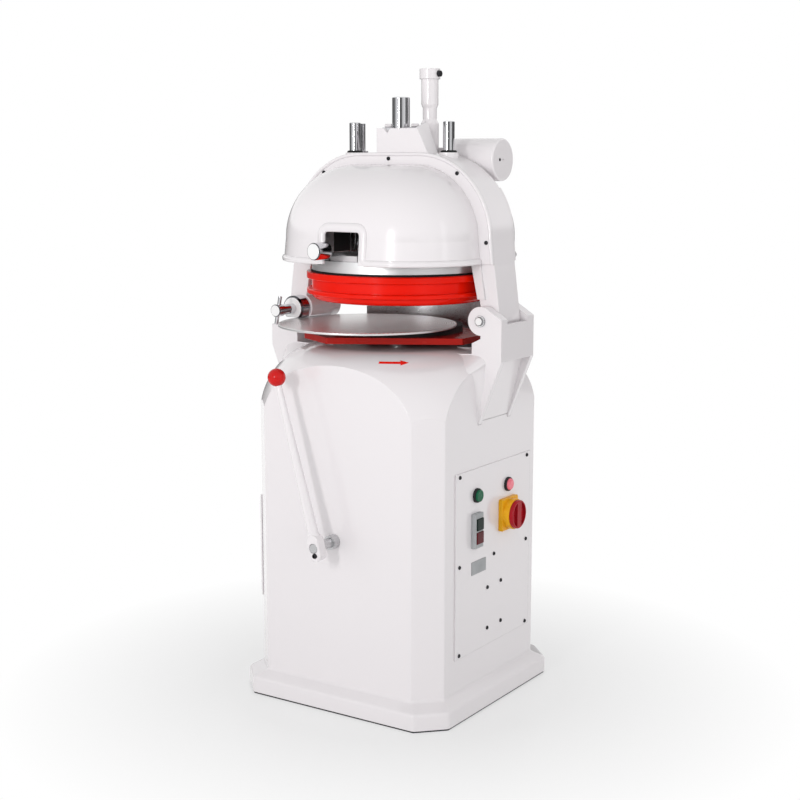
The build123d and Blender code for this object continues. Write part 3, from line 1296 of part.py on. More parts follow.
nodes = {
    "housing": make_housing(),
    "bracket_right": make_right_bracket(),
    "bracket_left": make_left_bracket(),
    "base_plate": make_base_plate(),
    "side_cover": make_side_cover(),
    "rear_cover": make_rear_cover(),
    "control_panel": make_control_panel(),
    "panel_screws": make_panel_screws(),
    "bezels": Compound([make_bezel(BUTTON_Y), make_bezel(LAMP_Y)]),
    "push_button": make_button(),
    "lamp_lens": make_lamp(),
    "key_box": make_key_box(),
    "start_key": make_key(key_middle + KEY_STEP),
    "stop_key": make_key(key_middle - KEY_STEP),
    "switch_base": make_switch_base(),
    "switch_knob": make_switch_knob(),
    "blank_plate": make_blank_plate(),
    "rear_guard": make_guard(),
    "motor": make_motor(),
    "motor_pulley": make_pulley(MOTOR_X, MOTOR_Y, MOTOR_PULLEY_R, MOTOR_SHAFT_R + FIT),
    "main_pulley": make_pulley(0, HEAD_Y, MAIN_PULLEY_R, SHAFT_R + FIT),
    "belt": make_belt(),
    "main_shaft": make_main_shaft(),
    "bearings": Compound([upper_bearing, lower_bearing]),
    "bridge": make_bridge(),
    "table": make_table(),
    "table_pad": make_pad(),
    "moulding_plate": make_moulding_plate(),
    "lever_bush": make_lever_bush(),
    "lever_shaft": make_lever_shaft(),
    "rounding_lever": make_rounding_lever(),
    "lever_ball": make_lever_ball(),
    "hinge_pin": make_hinge_pin(),
    "yoke": make_yoke(),
    "front_hood": make_front_hood(),
    "rear_hood": make_rear_hood(),
    "hood_screws": make_hood_screws(),
    "ring": make_ring(),
    "seal": make_seal(),
    "clamp_ring": make_clamp_ring(),
    "head_plate": make_head_plate(),
    "press_plate": make_press_plate(),
    "knife_unit": make_knife_unit(),
    "column": make_column(),
    "stop_rod": make_stop_rod(),
    "reg_block": make_reg_block(),
    "regulating_lever": make_regulating_lever(),
    "regulating_knob": make_regulating_knob(),
    "pivot_shaft": make_pivot_shaft(),
    "spring_housing": make_spring_housing(),
    "press_lever": make_press_lever(),
    "collar_screw": make_collar_screw(),
    "lock_boss": make_lock_boss(),
    "lock_screw": make_lock_screw(),
    "tommy_bar": make_tommy_bar(),
    "arm_plate": make_arm_plate(),
}
for index in range(CRANK_COUNT):
    nodes["crank_" + str(index + 1)] = make_crank(index)
nodes["guide_rod_left"] = make_guide_rod(-1)
nodes["guide_rod_right"] = make_guide_rod(1)

for name, shape in nodes.items():
    export_step(shape, "parts/" + name + ".step")
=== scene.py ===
import json
import math
import bmesh
import bpy
import numpy as np
from mathutils import Euler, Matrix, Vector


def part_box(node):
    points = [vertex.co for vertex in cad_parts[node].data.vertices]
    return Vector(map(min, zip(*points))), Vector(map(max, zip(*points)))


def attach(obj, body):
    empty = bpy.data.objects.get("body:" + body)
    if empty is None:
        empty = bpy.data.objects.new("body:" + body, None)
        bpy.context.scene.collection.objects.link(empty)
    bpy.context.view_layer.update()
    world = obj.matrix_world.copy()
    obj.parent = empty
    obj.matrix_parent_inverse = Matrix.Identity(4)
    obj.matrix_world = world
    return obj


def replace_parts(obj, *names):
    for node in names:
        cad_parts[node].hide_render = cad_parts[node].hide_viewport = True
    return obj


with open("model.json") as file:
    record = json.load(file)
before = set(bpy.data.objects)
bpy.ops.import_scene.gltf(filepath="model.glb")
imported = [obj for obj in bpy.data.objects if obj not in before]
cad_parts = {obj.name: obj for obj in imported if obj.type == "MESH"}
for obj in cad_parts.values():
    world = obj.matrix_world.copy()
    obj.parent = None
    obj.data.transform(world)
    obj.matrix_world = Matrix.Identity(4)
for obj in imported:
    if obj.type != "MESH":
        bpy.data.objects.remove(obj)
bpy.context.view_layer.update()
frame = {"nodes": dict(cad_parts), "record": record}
nodes = frame["nodes"]

# Camera: where the photograph was taken from, in metres and degrees.
CAMERA_AT = (1.8676, -2.8178, 1.2402)
CAMERA_TURN = 33.48
CAMERA_TILT = 9.44
LENS_MM = 65.8
SENSOR_MM = 36.0
SIGHT_END = 60.0

# Places taken from the part's own sizes, in metres.
HEAD_Y = 0.010
BODY_TOP = 0.815
DOME_H = 0.175
DOME_FLAT_R = 0.170
DOME_OUT_R = 0.3258
PANEL_X = 0.2555
PANEL_ROWS = (0.143, 0.346, 0.549)
PANEL_COLUMNS = (-0.143, 0.160)
PANEL_INNER = ((0.009, 0.344), (0.042, 0.273), (-0.019, 0.271), (0.043, 0.176), (-0.019, 0.175))
YOKE_TOP = 1.250
YOKE_MID = 1.060
YOKE_FLAT = 0.080
YOKE_R = 0.190
FLANGE_FRONT_Y = -0.041
FLANGE_W = 0.027
FLANGE_SCREW_ANGLE = 55.0
HOOD_R = 0.163
HOOD_HALF = 0.074
HOOD_WALL = 0.004
HOOD_SIDE = 0.019
HOOD_END = HOOD_HALF + HOOD_R * math.pi / 2 + HOOD_SIDE
FRONT_AXIS_Y = -0.060
FRONT_FOOT_Z = 1.008
FRONT_FLARE = 0.005
REAR_AXIS_Y = 0.080
REAR_FOOT_Z = 1.012
REAR_TOP_Z = 1.172
NOTCH_HALF = 0.047
NOTCH_TOP_Z = 1.080
NOTCH_R = 0.009
GUIDE_X = 0.128
GUIDE_R = 0.013
KNEE_Z = 1.004
KNEE_OUT = 0.005
PIVOT_Y = 0.090
PIVOT_Z = 1.234
BODY_HALF = 0.2525
RIGHT_FRONT_Y = -0.063
LEFT_FRONT_Y = -0.080
RIB_TOP_Z = 0.797
RIB_FOOT_Z = 0.652
RIB_OUT = 0.0575
LEVER_AT = (-0.005, -0.3315, 0.393)
LEVER_LEAN = 15.9
PLATE_CENTRE = (-0.047, -0.0593)

# The room in reflections: share of a full turn from -X by way of -Y, and brightness there.
WALLS = (
    (0.0, 0.15), (0.08, 0.15), (0.14, 0.6), (0.175, 1.0), (0.235, 1.0), (0.285, 0.22), (0.33, 0.12),
    (0.37, 0.14), (0.415, 0.9), (0.43, 0.9), (0.46, 0.6), (0.50, 0.35), (0.54, 0.18), (0.58, 0.08),
    (0.70, 0.12), (1.0, 0.15),
)
# Heights of a direction, as a share of its length, between which those walls give way to white.
WALLS_END = (0.04, 0.12)

# The soft light: its strength, what is left of it overhead, and between which heights it weakens.
SOFT_LIGHT = 1.33
OVERHEAD = 0.25
WEAKENS = (0.15, 0.9)

# The floor: half its side, its colour and roughness, how white it is near the object, and between
# which distances it goes to full white.
FLOOR_HALF = 4.0
FLOOR_GREY = (0.76, 0.76, 0.76)
FLOOR_ROUGH = 0.40
FLOOR_WHITE_NEAR = 0.52
FLOOR_FADE = (0.40, 0.95)

# Sizes of the rolled edges, the bead and the dark sheets of painted shade inside the hoods, in metres.
ROLL_IN = 0.0055
ROLL_HALF = 0.0070
ROLL_OUT = 0.0050
ROLL_TURN = 0.012
NOTCH_ROLL_IN = 0.0085
NOTCH_ROLL_HALF = 0.0100
BEAD_HALF = 0.0040
BEAD_OUT = 0.0030
PAINTED_SHADE_PAST_END = 0.003
SKIN = 0.0006

# Sizes of the screw heads and the wiper rings, in metres.
SCREW_R = 0.0045
SCREW_H = 0.0026
FLANGE_SCREW_H = 0.0028
FLANGE_SCREW_DROP = 0.005
PLUG_R = 0.0036
PLUG_H = 0.0010
CLAMP_SCREW_R = 0.0058
CLAMP_SCREW_H = 0.0040
CLAMP_SCREW_DROP = 0.0165
SIDE_SCREW_IN = 0.022
REAR_SCREW_IN = 0.015
WIPER_GAP = 0.0006
WIPER_R = 0.0185
WIPER_H = 0.0050
WIPER_ROUND = 0.002
WIPER_SUNK = 0.001

# The cast corners in front of the brackets, in metres. Their lean is how far the upper edge turns
# up, in radians: first value, last value and number of points of each stretch along the crease.
FAIRING_START_X = 0.196
FAIRING_RUN = 0.050
FAIRING_SIZE = 0.026
FAIRING_SHARE = 0.45
FAIRING_SPREAD = 0.020
FAIRING_FADE = 0.020
FAIRING_FOOT = 0.006
FAIRING_BACK = 0.003
FAIRING_TOP_STEPS = 24
FAIRING_SIDE_STEPS = 39
FAIRING_LEAN = ((0.95, 0.70, 20), (0.66, 0.0, 18), (0.0, 0.0, 25))

# The painted arrow: the radius of its circle, the radius that the dome's shoulder curves with there,
# half the paint's thickness, where it starts and how far it turns in degrees, and its outline as
# share of its length and half width.
ARROW_R = 0.235
ARROW_CURVE_R = 0.159
ARROW_LIFT = 0.0003
ARROW_START = 23.0
ARROW_TURN = 16.0
ARROW_OUTLINE = (
    (0.0, 0.0040), (0.15, 0.0040), (0.30, 0.0040), (0.45, 0.0040), (0.60, 0.0040), (0.72, 0.0040),
    (0.7201, 0.0095), (0.80, 0.0068), (0.88, 0.0041), (0.96, 0.0014), (1.0, 0.0),
)

# The range in which most of a noise lies.
NOISE_LOW = 0.3
NOISE_HIGH = 0.7

# A ground end of polished metal, with painted light: how squarely the surface faces along the axis, and
# the colour there.
# # The pale end is partly a ground finish and partly a painted highlight; the dark rim round it is a
# painted reflection.
RIM_PAINTED_REFLECTION = (0.10, 0.10, 0.11)
GROUND_END_AND_PAINTED_LIGHT = (
    (0.15, (0.62, 0.62, 0.64)),
    (0.35, RIM_PAINTED_REFLECTION),
    (0.88, RIM_PAINTED_REFLECTION),
    (0.97, (0.97, 0.97, 0.97)),
)

# Closer points are one point, and thinner faces are none.
SAME_POINT = 1e-6
SLIVER = 1e-7

# Half a turn about the upright axis, and the change from right to left.
HALF_TURN = np.array([-1.0, -1.0, 1.0])
MIRRORED = np.array([-1.0, 1.0, 1.0])


def grid_mesh(name, points, close_v=False):
    """A mesh from a grid of points: neighbours along u and v make one four-sided face each, and v may
    close on itself."""
    count_u, count_v = points.shape[:2]
    index = np.arange(count_u * count_v).reshape(count_u, count_v)
    if close_v:
        index = np.concatenate([index, index[:, :1]], axis=1)
    quads = np.stack([index[:-1, :-1], index[1:, :-1], index[1:, 1:], index[:-1, 1:]], axis=-1)
    mesh = bpy.data.meshes.new(name)
    mesh.from_pydata(points.reshape(-1, 3).tolist(), [], quads.reshape(-1, 4).tolist())
    mesh.update()
    return mesh


def add_piece(name, meshes, material, body, sharp=35):
    """One object from one or more meshes, with doubles merged and faces turned outward."""
    form = bmesh.new()
    for mesh in meshes:
        form.from_mesh(mesh)
        bpy.data.meshes.remove(mesh)
    bmesh.ops.remove_doubles(form, verts=form.verts, dist=SAME_POINT)
    bmesh.ops.dissolve_degenerate(form, edges=form.edges, dist=SLIVER)
    bmesh.ops.recalc_face_normals(form, faces=form.faces)
    whole = bpy.data.meshes.new(name)
    form.to_mesh(whole)
    form.free()
    whole.materials.append(material)
    whole.shade_smooth()
    whole.set_sharp_from_angle(angle=math.radians(sharp))
    piece = bpy.data.objects.new(name, whole)
    bpy.context.scene.collection.objects.link(piece)
    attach(piece, body)
    return piece


def laid(points, place, axis):
    """Points drawn about the z axis, turned so that their z lies along an axis such as -y, and moved
    to a place."""
    across, along, up = points[..., 0], points[..., 1], points[..., 2]
    order = {"x": (up, across, along), "y": (along, up, across), "z": (across, along, up)}[axis[-1]]
    points = np.stack(order, axis=-1)
    if axis[0] == "-":
        points = points * np.where(np.array([c == axis[-1] for c in "xyz"]), -1.0, 1.0)
    return points + np.array(place)


def turned(name, profile, place, axis, count=32):
    """A lathe form: each (radius, height) of the profile swept round a circle, laid along an axis."""
    radius, height = np.array(profile).T[:, :, None]
    angle = np.linspace(0, 2 * np.pi, count, endpoint=False)[None, :]
    points = np.stack([radius * np.cos(angle), radius * np.sin(angle), height + 0 * angle], axis=-1)
    return grid_mesh(name, laid(points, place, axis), close_v=True)


def socket_screw(name, place, axis, radius, height):
    """A low domed screw head: circles that shrink to a six-sided well, whose radius is half its width
    over the flats by the cosine of the angle from the middle of the nearest flat."""
    angle = np.linspace(0, 2 * np.pi, 36, endpoint=False)
    six = 1 / np.cos((angle + np.pi / 6) % (np.pi / 3) - np.pi / 6)
    round_shares = [(1.0, 0.0), (1.0, 0.45), (0.93, 0.75), (0.80, 0.94), (0.66, 1.0)]
    well_shares = [(0.46, 1.0), (0.42, 0.92), (0.42, 0.25), (0.0, 0.20)]
    rows = [(share * radius + 0 * angle, up * height) for share, up in round_shares]
    rows += [(share * radius * six, up * height) for share, up in well_shares]
    radii = np.stack([row for row, _ in rows])
    heights = np.array([up for _, up in rows])[:, None] + 0 * angle
    points = np.stack([radii * np.cos(angle), radii * np.sin(angle), heights], axis=-1)
    return grid_mesh(name, laid(points, place, axis), close_v=True)


def swept(name, path, side, out, half_side, half_out, count=16):
    """A soft ridge carried along a path: path + half_side cos t side + half_out sin t |sin t| out,
    drawn to a point at both ends. half_side has one value for each point of the path."""
    t = np.linspace(0, 2 * np.pi, count, endpoint=False)[None, :, None]
    size = np.ones(len(path) + 2)
    size[0] = size[-1] = 0
    keep = np.concatenate([[0], np.arange(len(path)), [len(path) - 1]])
    across = half_side[keep][:, None, None] * np.cos(t) * side[keep][:, None]
    ring = across + half_out * np.sin(t) * np.abs(np.sin(t)) * out[keep][:, None]
    return grid_mesh(name, path[keep][:, None] + size[:, None, None] * ring, close_v=True)


def hood_wall(u, z, inset, flare, foot_z):
    """A point of a hood's wall about its own axis. u runs round the plan from the middle of the front:
    a straight front, a quarter circle, a straight side. Below the middle height the radius grows by
    the flare in proportion, above it it is the root of the radius squared less the height squared."""
    below = np.clip((YOKE_MID - z) / (YOKE_MID - foot_z), 0, None)
    above = np.clip(z - YOKE_MID, 0, None)
    radius = np.sqrt(np.clip((HOOD_R - inset) ** 2 - above ** 2, 0, None)) + flare * below
    turn = np.clip((np.abs(u) - HOOD_HALF) / HOOD_R, 0, np.pi / 2)
    back = np.clip(np.abs(u) - HOOD_HALF - HOOD_R * np.pi / 2, 0, None)
    x = np.sign(u) * (np.clip(np.abs(u), 0, HOOD_HALF) + radius * np.sin(turn))
    return np.stack([x, back - radius * np.cos(turn), z + 0 * u], axis=-1)


def hood_roll(u, z, half, flare, foot_z):
    """Path, side and outward directions and half width of a roll along a line on the hood's wall. The
    outward one is the cross of the wall's two slopes, the side one the cross of that with the path's
    own direction."""
    fresh = np.concatenate([[True], np.hypot(np.diff(u), np.diff(z)) > SAME_POINT])
    u, z, half = u[fresh], z[fresh], half[fresh]
    step = 1e-5
    path = hood_wall(u, z, 0, flare, foot_z)
    along_u = hood_wall(u + step, z, 0, flare, foot_z) - hood_wall(u - step, z, 0, flare, foot_z)
    along_z = hood_wall(u, z + step, 0, flare, foot_z) - hood_wall(u, z - step, 0, flare, foot_z)
    out = np.cross(along_u, along_z)
    out /= np.linalg.norm(out, axis=1, keepdims=True)
    ahead = np.gradient(path, axis=0)
    side = np.cross(out, ahead / np.linalg.norm(ahead, axis=1, keepdims=True))
    return path, side, out, half


def front_roll_line():
    """The line of the front hood's roll on its wall and its half width: along the foot to the notch, up
    one side of it with rounded turns, over its top, and the same mirrored. The roll is wider round
    the notch."""
    edge = NOTCH_HALF + NOTCH_ROLL_IN
    foot = FRONT_FOOT_Z + ROLL_IN
    top = NOTCH_TOP_Z + NOTCH_ROLL_IN
    high_r = NOTCH_R + NOTCH_ROLL_IN
    foot_count, turn_count, side_count, top_count = 90, 13, 9, 8
    a = np.linspace(0, np.pi / 2, turn_count)
    u = [
        np.linspace(-HOOD_END, -edge - ROLL_TURN, foot_count),
        -edge - ROLL_TURN + ROLL_TURN * np.sin(a),
        np.full(side_count, -edge),
        -edge + high_r - high_r * np.cos(a),
        np.linspace(-edge + high_r, 0, top_count),
    ]
    z = [
        np.full(foot_count, foot),
        foot + ROLL_TURN - ROLL_TURN * np.cos(a),
        np.linspace(foot + ROLL_TURN, top - high_r, side_count),
        top - high_r + high_r * np.sin(a),
        np.full(top_count, top),
    ]
    half = [
        np.full(foot_count, ROLL_HALF),
        np.linspace(ROLL_HALF, NOTCH_ROLL_HALF, turn_count),
        np.full(side_count + turn_count + top_count, NOTCH_ROLL_HALF),
    ]
    u, z, half = np.concatenate(u), np.concatenate(z), np.concatenate(half)
    u = np.concatenate([u, -u[::-1]])
    z = np.concatenate([z, z[::-1]])
    return u, z, np.concatenate([half, half[::-1]])


# Materials


def new_finish(name):
    """An empty node material with its principled shader."""
    material = bpy.data.materials.new(name)
    material.use_nodes = True
    tree = material.node_tree
    return material, tree, tree.nodes["Principled BSDF"]


def noise(tree, scale, detail=2.0, stretch=(1, 1, 1), rough=0.5):
    """A noise over the piece's own coordinates, drawn out along an axis by the stretch."""
    place = tree.nodes.new("ShaderNodeTexCoord")
    mapping = tree.nodes.new("ShaderNodeMapping")
    mapping.inputs["Scale"].default_value = stretch
    texture = tree.nodes.new("ShaderNodeTexNoise")
    texture.inputs["Scale"].default_value = scale
    texture.inputs["Detail"].default_value = detail
    texture.inputs["Roughness"].default_value = rough
    tree.links.new(place.outputs["Object"], mapping.inputs["Vector"])
    tree.links.new(mapping.outputs["Vector"], texture.inputs["Vector"])
    return texture.outputs["Fac"]


def turning_marks(tree, centre, scale):
    """Rings about an upright axis through the centre, broken up by a little distortion."""
    place = tree.nodes.new("ShaderNodeTexCoord")
    mapping = tree.nodes.new("ShaderNodeMapping")
    mapping.inputs["Location"].default_value = (-centre[0], -centre[1], 0)
    rings = tree.nodes.new("ShaderNodeTexWave")
    rings.wave_type = "RINGS"
    rings.rings_direction = "Z"
    rings.inputs["Scale"].default_value = scale
    rings.inputs["Distortion"].default_value = 0.4
    rings.inputs["Detail"].default_value = 3.0
    rings.inputs["Detail Scale"].default_value = 2.0
    tree.links.new(place.outputs["Object"], mapping.inputs["Vector"])
    tree.links.new(mapping.outputs["Vector"], rings.inputs["Vector"])
    return rings.outputs["Fac"]


def spread(tree, value, low, high, start=NOISE_LOW, end=NOISE_HIGH):
    """The value between start and end carried to the range low to high."""
    node = tree.nodes.new("ShaderNodeMapRange")
    node.inputs["From Min"].default_value = start
    node.inputs["From Max"].default_value = end
    node.inputs["To Min"].default_value = low
    node.inputs["To Max"].default_value = high
    tree.links.new(value, node.inputs["Value"])
    return node.outputs["Result"]


def shaded(tree, value, stops):
    """A colour that goes through the stops, each a place and its colour, as the value rises."""
    ramp = tree.nodes.new("ShaderNodeValToRGB")
    elements = ramp.color_ramp.elements
    for element, (place, colour) in zip(elements, (stops[0], stops[-1])):
        element.position = place
        element.color = (*colour, 1)
    for place, colour in stops[1:-1]:
        elements.new(place).color = (*colour, 1)
    tree.links.new(value, ramp.inputs["Fac"])
    return ramp.outputs["Color"]


def tint(tree, value, first, second):
    """A colour that goes from first to second with a noise."""
    return shaded(tree, value, ((NOISE_LOW, first), (NOISE_HIGH, second)))


def rounded_edges(tree, radius):
    """The surface's direction with its edges rounded to the radius."""
    edge = tree.nodes.new("ShaderNodeBevel")
    edge.samples = 8
    edge.inputs["Radius"].default_value = radius
    return edge.outputs["Normal"]


def relief(tree, shader, height, strength, depth, edge_r=0.0):
    """A bump of the given depth, over edges that are rounded to edge_r."""
    bump = tree.nodes.new("ShaderNodeBump")
    bump.inputs["Strength"].default_value = strength
    bump.inputs["Distance"].default_value = depth
    tree.links.new(height, bump.inputs["Height"])
    if edge_r:
        tree.links.new(rounded_edges(tree, edge_r), bump.inputs["Normal"])
    tree.links.new(bump.outputs["Normal"], shader.inputs["Normal"])


def enamel(name, first, second, rough, coat, edge_r, shine=0.5):
    """Stove enamel: a faint cloudiness in colour, a fine orange peel and a clear gloss."""
    material, tree, shader = new_finish(name)
    cloud = noise(tree, scale=2.2, detail=3.0)
    haze = noise(tree, scale=5.0, detail=3.0)
    peel = noise(tree, scale=180.0)
    tree.links.new(tint(tree, cloud, first, second), shader.inputs["Base Color"])
    tree.links.new(spread(tree, haze, *rough), shader.inputs["Roughness"])
    relief(tree, shader, peel, strength=0.05, depth=0.0003, edge_r=edge_r)
    shader.inputs["Specular IOR Level"].default_value = shine
    shader.inputs["Coat Weight"].default_value = coat
    shader.inputs["Coat Roughness"].default_value = 0.04
    return material


def metal(name, first, second, rough, grain, stretch, depth, edge_r, centre=None):
    """Bare metal: drawn-out grain, or turning marks about a centre, in roughness and relief, and a
    change of tone."""
    material, tree, shader = new_finish(name)
    shader.inputs["Metallic"].default_value = 1.0
    if centre:
        lines = turning_marks(tree, centre, grain)
    else:
        lines = noise(tree, grain, detail=5.0, stretch=stretch, rough=0.65)
    cloud = noise(tree, scale=9.0, detail=3.0)
    tree.links.new(tint(tree, cloud, first, second), shader.inputs["Base Color"])
    tree.links.new(spread(tree, lines, *rough), shader.inputs["Roughness"])
    relief(tree, shader, lines, strength=0.12, depth=depth, edge_r=edge_r)
    return material


def moulded(name, first, second, rough, grain, depth, edge_r):
    """Moulded plastic or rubber: a fine leathery grain and a slightly uneven colour."""
    material, tree, shader = new_finish(name)
    cloud = noise(tree, scale=40.0, detail=3.0)
    haze = noise(tree, scale=120.0, detail=3.0)
    leather = noise(tree, grain)
    tree.links.new(tint(tree, cloud, first, second), shader.inputs["Base Color"])
    tree.links.new(spread(tree, haze, *rough), shader.inputs["Roughness"])
    relief(tree, shader, leather, strength=0.15, depth=depth, edge_r=edge_r)
    shader.inputs["Specular IOR Level"].default_value = 0.2
    return material


def lamp_glass():
    """The pink lens of the pilot lamp: clear plastic with a fine uneven relief, glowing faintly."""
    material, tree, shader = new_finish("lamp_glass")
    colour = tint(tree, noise(tree, scale=90.0), (0.84, 0.16, 0.22), (0.92, 0.26, 0.32))
    tree.links.new(colour, shader.inputs["Base Color"])
    rough = spread(tree, noise(tree, scale=200.0), low=0.10, high=0.22)
    tree.links.new(rough, shader.inputs["Roughness"])
    shader.inputs["Transmission Weight"].default_value = 0.25
    shader.inputs["Emission Color"].default_value = (0.9, 0.25, 0.32, 1)
    shader.inputs["Emission Strength"].default_value = 0.10
    relief(tree, shader, noise(tree, scale=420.0), strength=0.2, depth=0.0002)
    return material


def metal_with_painted_end_light(name, axis, rim):
    """Polished metal with a ground end and painted light: where the surface, with its edges rounded to
    the rim's width, faces along the axis it is pale and matt, a ground finish with a painted highlight,
    and round the rim itself it is dark, a painted reflection."""
    material, tree, shader = new_finish(name)
    shader.inputs["Metallic"].default_value = 1.0
    own = tree.nodes.new("ShaderNodeVectorTransform")
    own.vector_type = "NORMAL"
    own.convert_from = "WORLD"
    own.convert_to = "OBJECT"
    tree.links.new(rounded_edges(tree, rim), own.inputs["Vector"])
    facing = tree.nodes.new("ShaderNodeVectorMath")
    facing.operation = "DOT_PRODUCT"
    facing.inputs[1].default_value = axis
    tree.links.new(own.outputs["Vector"], facing.inputs[0])
    square = facing.outputs["Value"]
    tree.links.new(shaded(tree, square, GROUND_END_AND_PAINTED_LIGHT), shader.inputs["Base Color"])
    rough = spread(tree, square, low=0.10, high=0.80, start=GROUND_END_AND_PAINTED_LIGHT[2][0], end=GROUND_END_AND_PAINTED_LIGHT[3][0])
    tree.links.new(rough, shader.inputs["Roughness"])
    relief(tree, shader, noise(tree, scale=160.0, detail=5.0), strength=0.12, depth=0.00006)
    return material


WHITES = (0.806, 0.772, 0.788), (0.814, 0.780, 0.796)
white_enamel = enamel("white_enamel", *WHITES, rough=(0.15, 0.19), coat=0.6, edge_r=0.0022)
white_skin = enamel("white_skin", *WHITES, rough=(0.15, 0.19), coat=0.6, edge_r=0.0)
red_enamel = enamel("red_enamel", (0.80, 0.008, 0.001), (0.84, 0.010, 0.0014),
                    rough=(0.16, 0.22), coat=0.05, edge_r=0.0015, shine=0.14)
# The ring's red paint, darkened as painted shade for the plate's shadow over the table.
table_red_painted_shade = enamel("table_red_painted_shade", (0.35, 0.010, 0.006), (0.40, 0.013, 0.008),
                      rough=(0.24, 0.34), coat=0.05, edge_r=0.0015, shine=0.15)
# Painted shade: near black, for the sheets that stand in for the shaded inside of the hoods.
hood_painted_shade = enamel("hood_painted_shade", (0.016, 0.016, 0.018), (0.024, 0.024, 0.026),
                     rough=(0.60, 0.75), coat=0.0, edge_r=0.0, shine=0.2)
cast_grey = enamel("cast_grey", (0.045, 0.047, 0.052), (0.070, 0.072, 0.078),
                   rough=(0.45, 0.62), coat=0.0, edge_r=0.001)
brushed_steel = metal("brushed_steel", (0.52, 0.52, 0.53), (0.60, 0.60, 0.61),
                      rough=(0.22, 0.38), grain=90.0, stretch=(1, 1, 12), depth=0.0002, edge_r=0.0008)
bright_steel = metal("bright_steel", (0.84, 0.84, 0.85), (0.92, 0.92, 0.93),
                     rough=(0.34, 0.50), grain=90.0, stretch=(1, 1, 12), depth=0.0001, edge_r=0.0008)
dark_steel = metal("dark_steel", (0.030, 0.030, 0.033), (0.050, 0.050, 0.054),
                   rough=(0.28, 0.42), grain=300.0, stretch=(1, 1, 1), depth=0.0001, edge_r=0.0004)
polished_chrome = metal("polished_chrome", (0.62, 0.62, 0.64), (0.68, 0.68, 0.70),
                        rough=(0.06, 0.14), grain=160.0, stretch=(1, 1, 6), depth=0.00006,
                        edge_r=0.0008)
# Chrome with painted light at the ends: a pale face with a painted highlight and a dark rim of painted
# reflection.
knob_chrome_painted_light = metal_with_painted_end_light("knob_chrome_painted_light", axis=(0, -1, 0), rim=0.0024)
plate_metal = metal("plate_metal", (0.78, 0.77, 0.77), (0.84, 0.83, 0.83),
                    rough=(0.26, 0.40), grain=60.0, stretch=(1, 1, 1), depth=0.00006, edge_r=0.0006,
                    centre=PLATE_CENTRE)
press_alloy = metal("press_alloy", (0.62, 0.63, 0.64), (0.70, 0.70, 0.71),
                    rough=(0.30, 0.45), grain=80.0, stretch=(1, 1, 1), depth=0.0002, edge_r=0.0006)
black_rubber = moulded("black_rubber", (0.010, 0.010, 0.011), (0.018, 0.018, 0.019),
                       rough=(0.55, 0.75), grain=500.0, depth=0.0003, edge_r=0.0006)
black_plastic = moulded("black_plastic", (0.012, 0.012, 0.013), (0.022, 0.022, 0.024),
                        rough=(0.30, 0.45), grain=600.0, depth=0.0002, edge_r=0.0006)
grey_plastic = moulded("grey_plastic", (0.36, 0.37, 0.38), (0.42, 0.43, 0.44),
                       rough=(0.35, 0.50), grain=600.0, depth=0.0002, edge_r=0.0006)
green_plastic = moulded("green_plastic", (0.006, 0.10, 0.045), (0.010, 0.13, 0.060),
                        rough=(0.18, 0.30), grain=500.0, depth=0.0001, edge_r=0.0006)
dark_green_plastic = moulded("dark_green_plastic", (0.004, 0.012, 0.010), (0.006, 0.018, 0.014),
                             rough=(0.30, 0.42), grain=500.0, depth=0.0001, edge_r=0.0006)
dark_red_plastic = moulded("dark_red_plastic", (0.090, 0.007, 0.012), (0.12, 0.009, 0.015),
                           rough=(0.30, 0.42), grain=500.0, depth=0.0001, edge_r=0.0006)
yellow_plastic = moulded("yellow_plastic", (0.82, 0.40, 0.010), (0.88, 0.45, 0.014),
                         rough=(0.24, 0.36), grain=500.0, depth=0.0001, edge_r=0.0008)
knob_red = moulded("knob_red", (0.36, 0.007, 0.014), (0.42, 0.009, 0.018),
                   rough=(0.26, 0.38), grain=300.0, depth=0.0001, edge_r=0.0008)
red_plastic = moulded("red_plastic", (0.56, 0.008, 0.008), (0.64, 0.013, 0.012),
                      rough=(0.16, 0.28), grain=300.0, depth=0.0001, edge_r=0.0008)

FINISH = {
    "white_paint": white_enamel,
    "red_paint": red_enamel,
    "steel": brushed_steel,
    "dark_steel": dark_steel,
    "chrome": polished_chrome,
    "plate_metal": plate_metal,
    "cast_grey": cast_grey,
    "press_alloy": press_alloy,
    "black_rubber": black_rubber,
    "black_plastic": black_plastic,
    "grey_plastic": grey_plastic,
    "green_plastic": green_plastic,
    "dark_green_plastic": dark_green_plastic,
    "dark_red_plastic": dark_red_plastic,
    "yellow_plastic": yellow_plastic,
    "red_plastic": red_plastic,
    "lamp_glass": lamp_glass(),
}
OWN_FINISH = {
    # The table's darker red is painted shade.
    "table": table_red_painted_shade,
    "switch_knob": knob_red,
    # Ends with a painted highlight on the pale face and a painted reflection on the dark rim.
    "regulating_knob": knob_chrome_painted_light,
    "lock_screw": knob_chrome_painted_light,
    "lock_boss": knob_chrome_painted_light,
    "hinge_pin": knob_chrome_painted_light,
    "clamp_ring": bright_steel,
    "head_plate": bright_steel,
}
for entry in frame["record"]["subparts"]:
    mesh = nodes[entry["node"]].data
    mesh.materials.clear()
    mesh.materials.append(OWN_FINISH.get(entry["node"], FINISH[entry["material_slot"]]))


# Pieces on the head


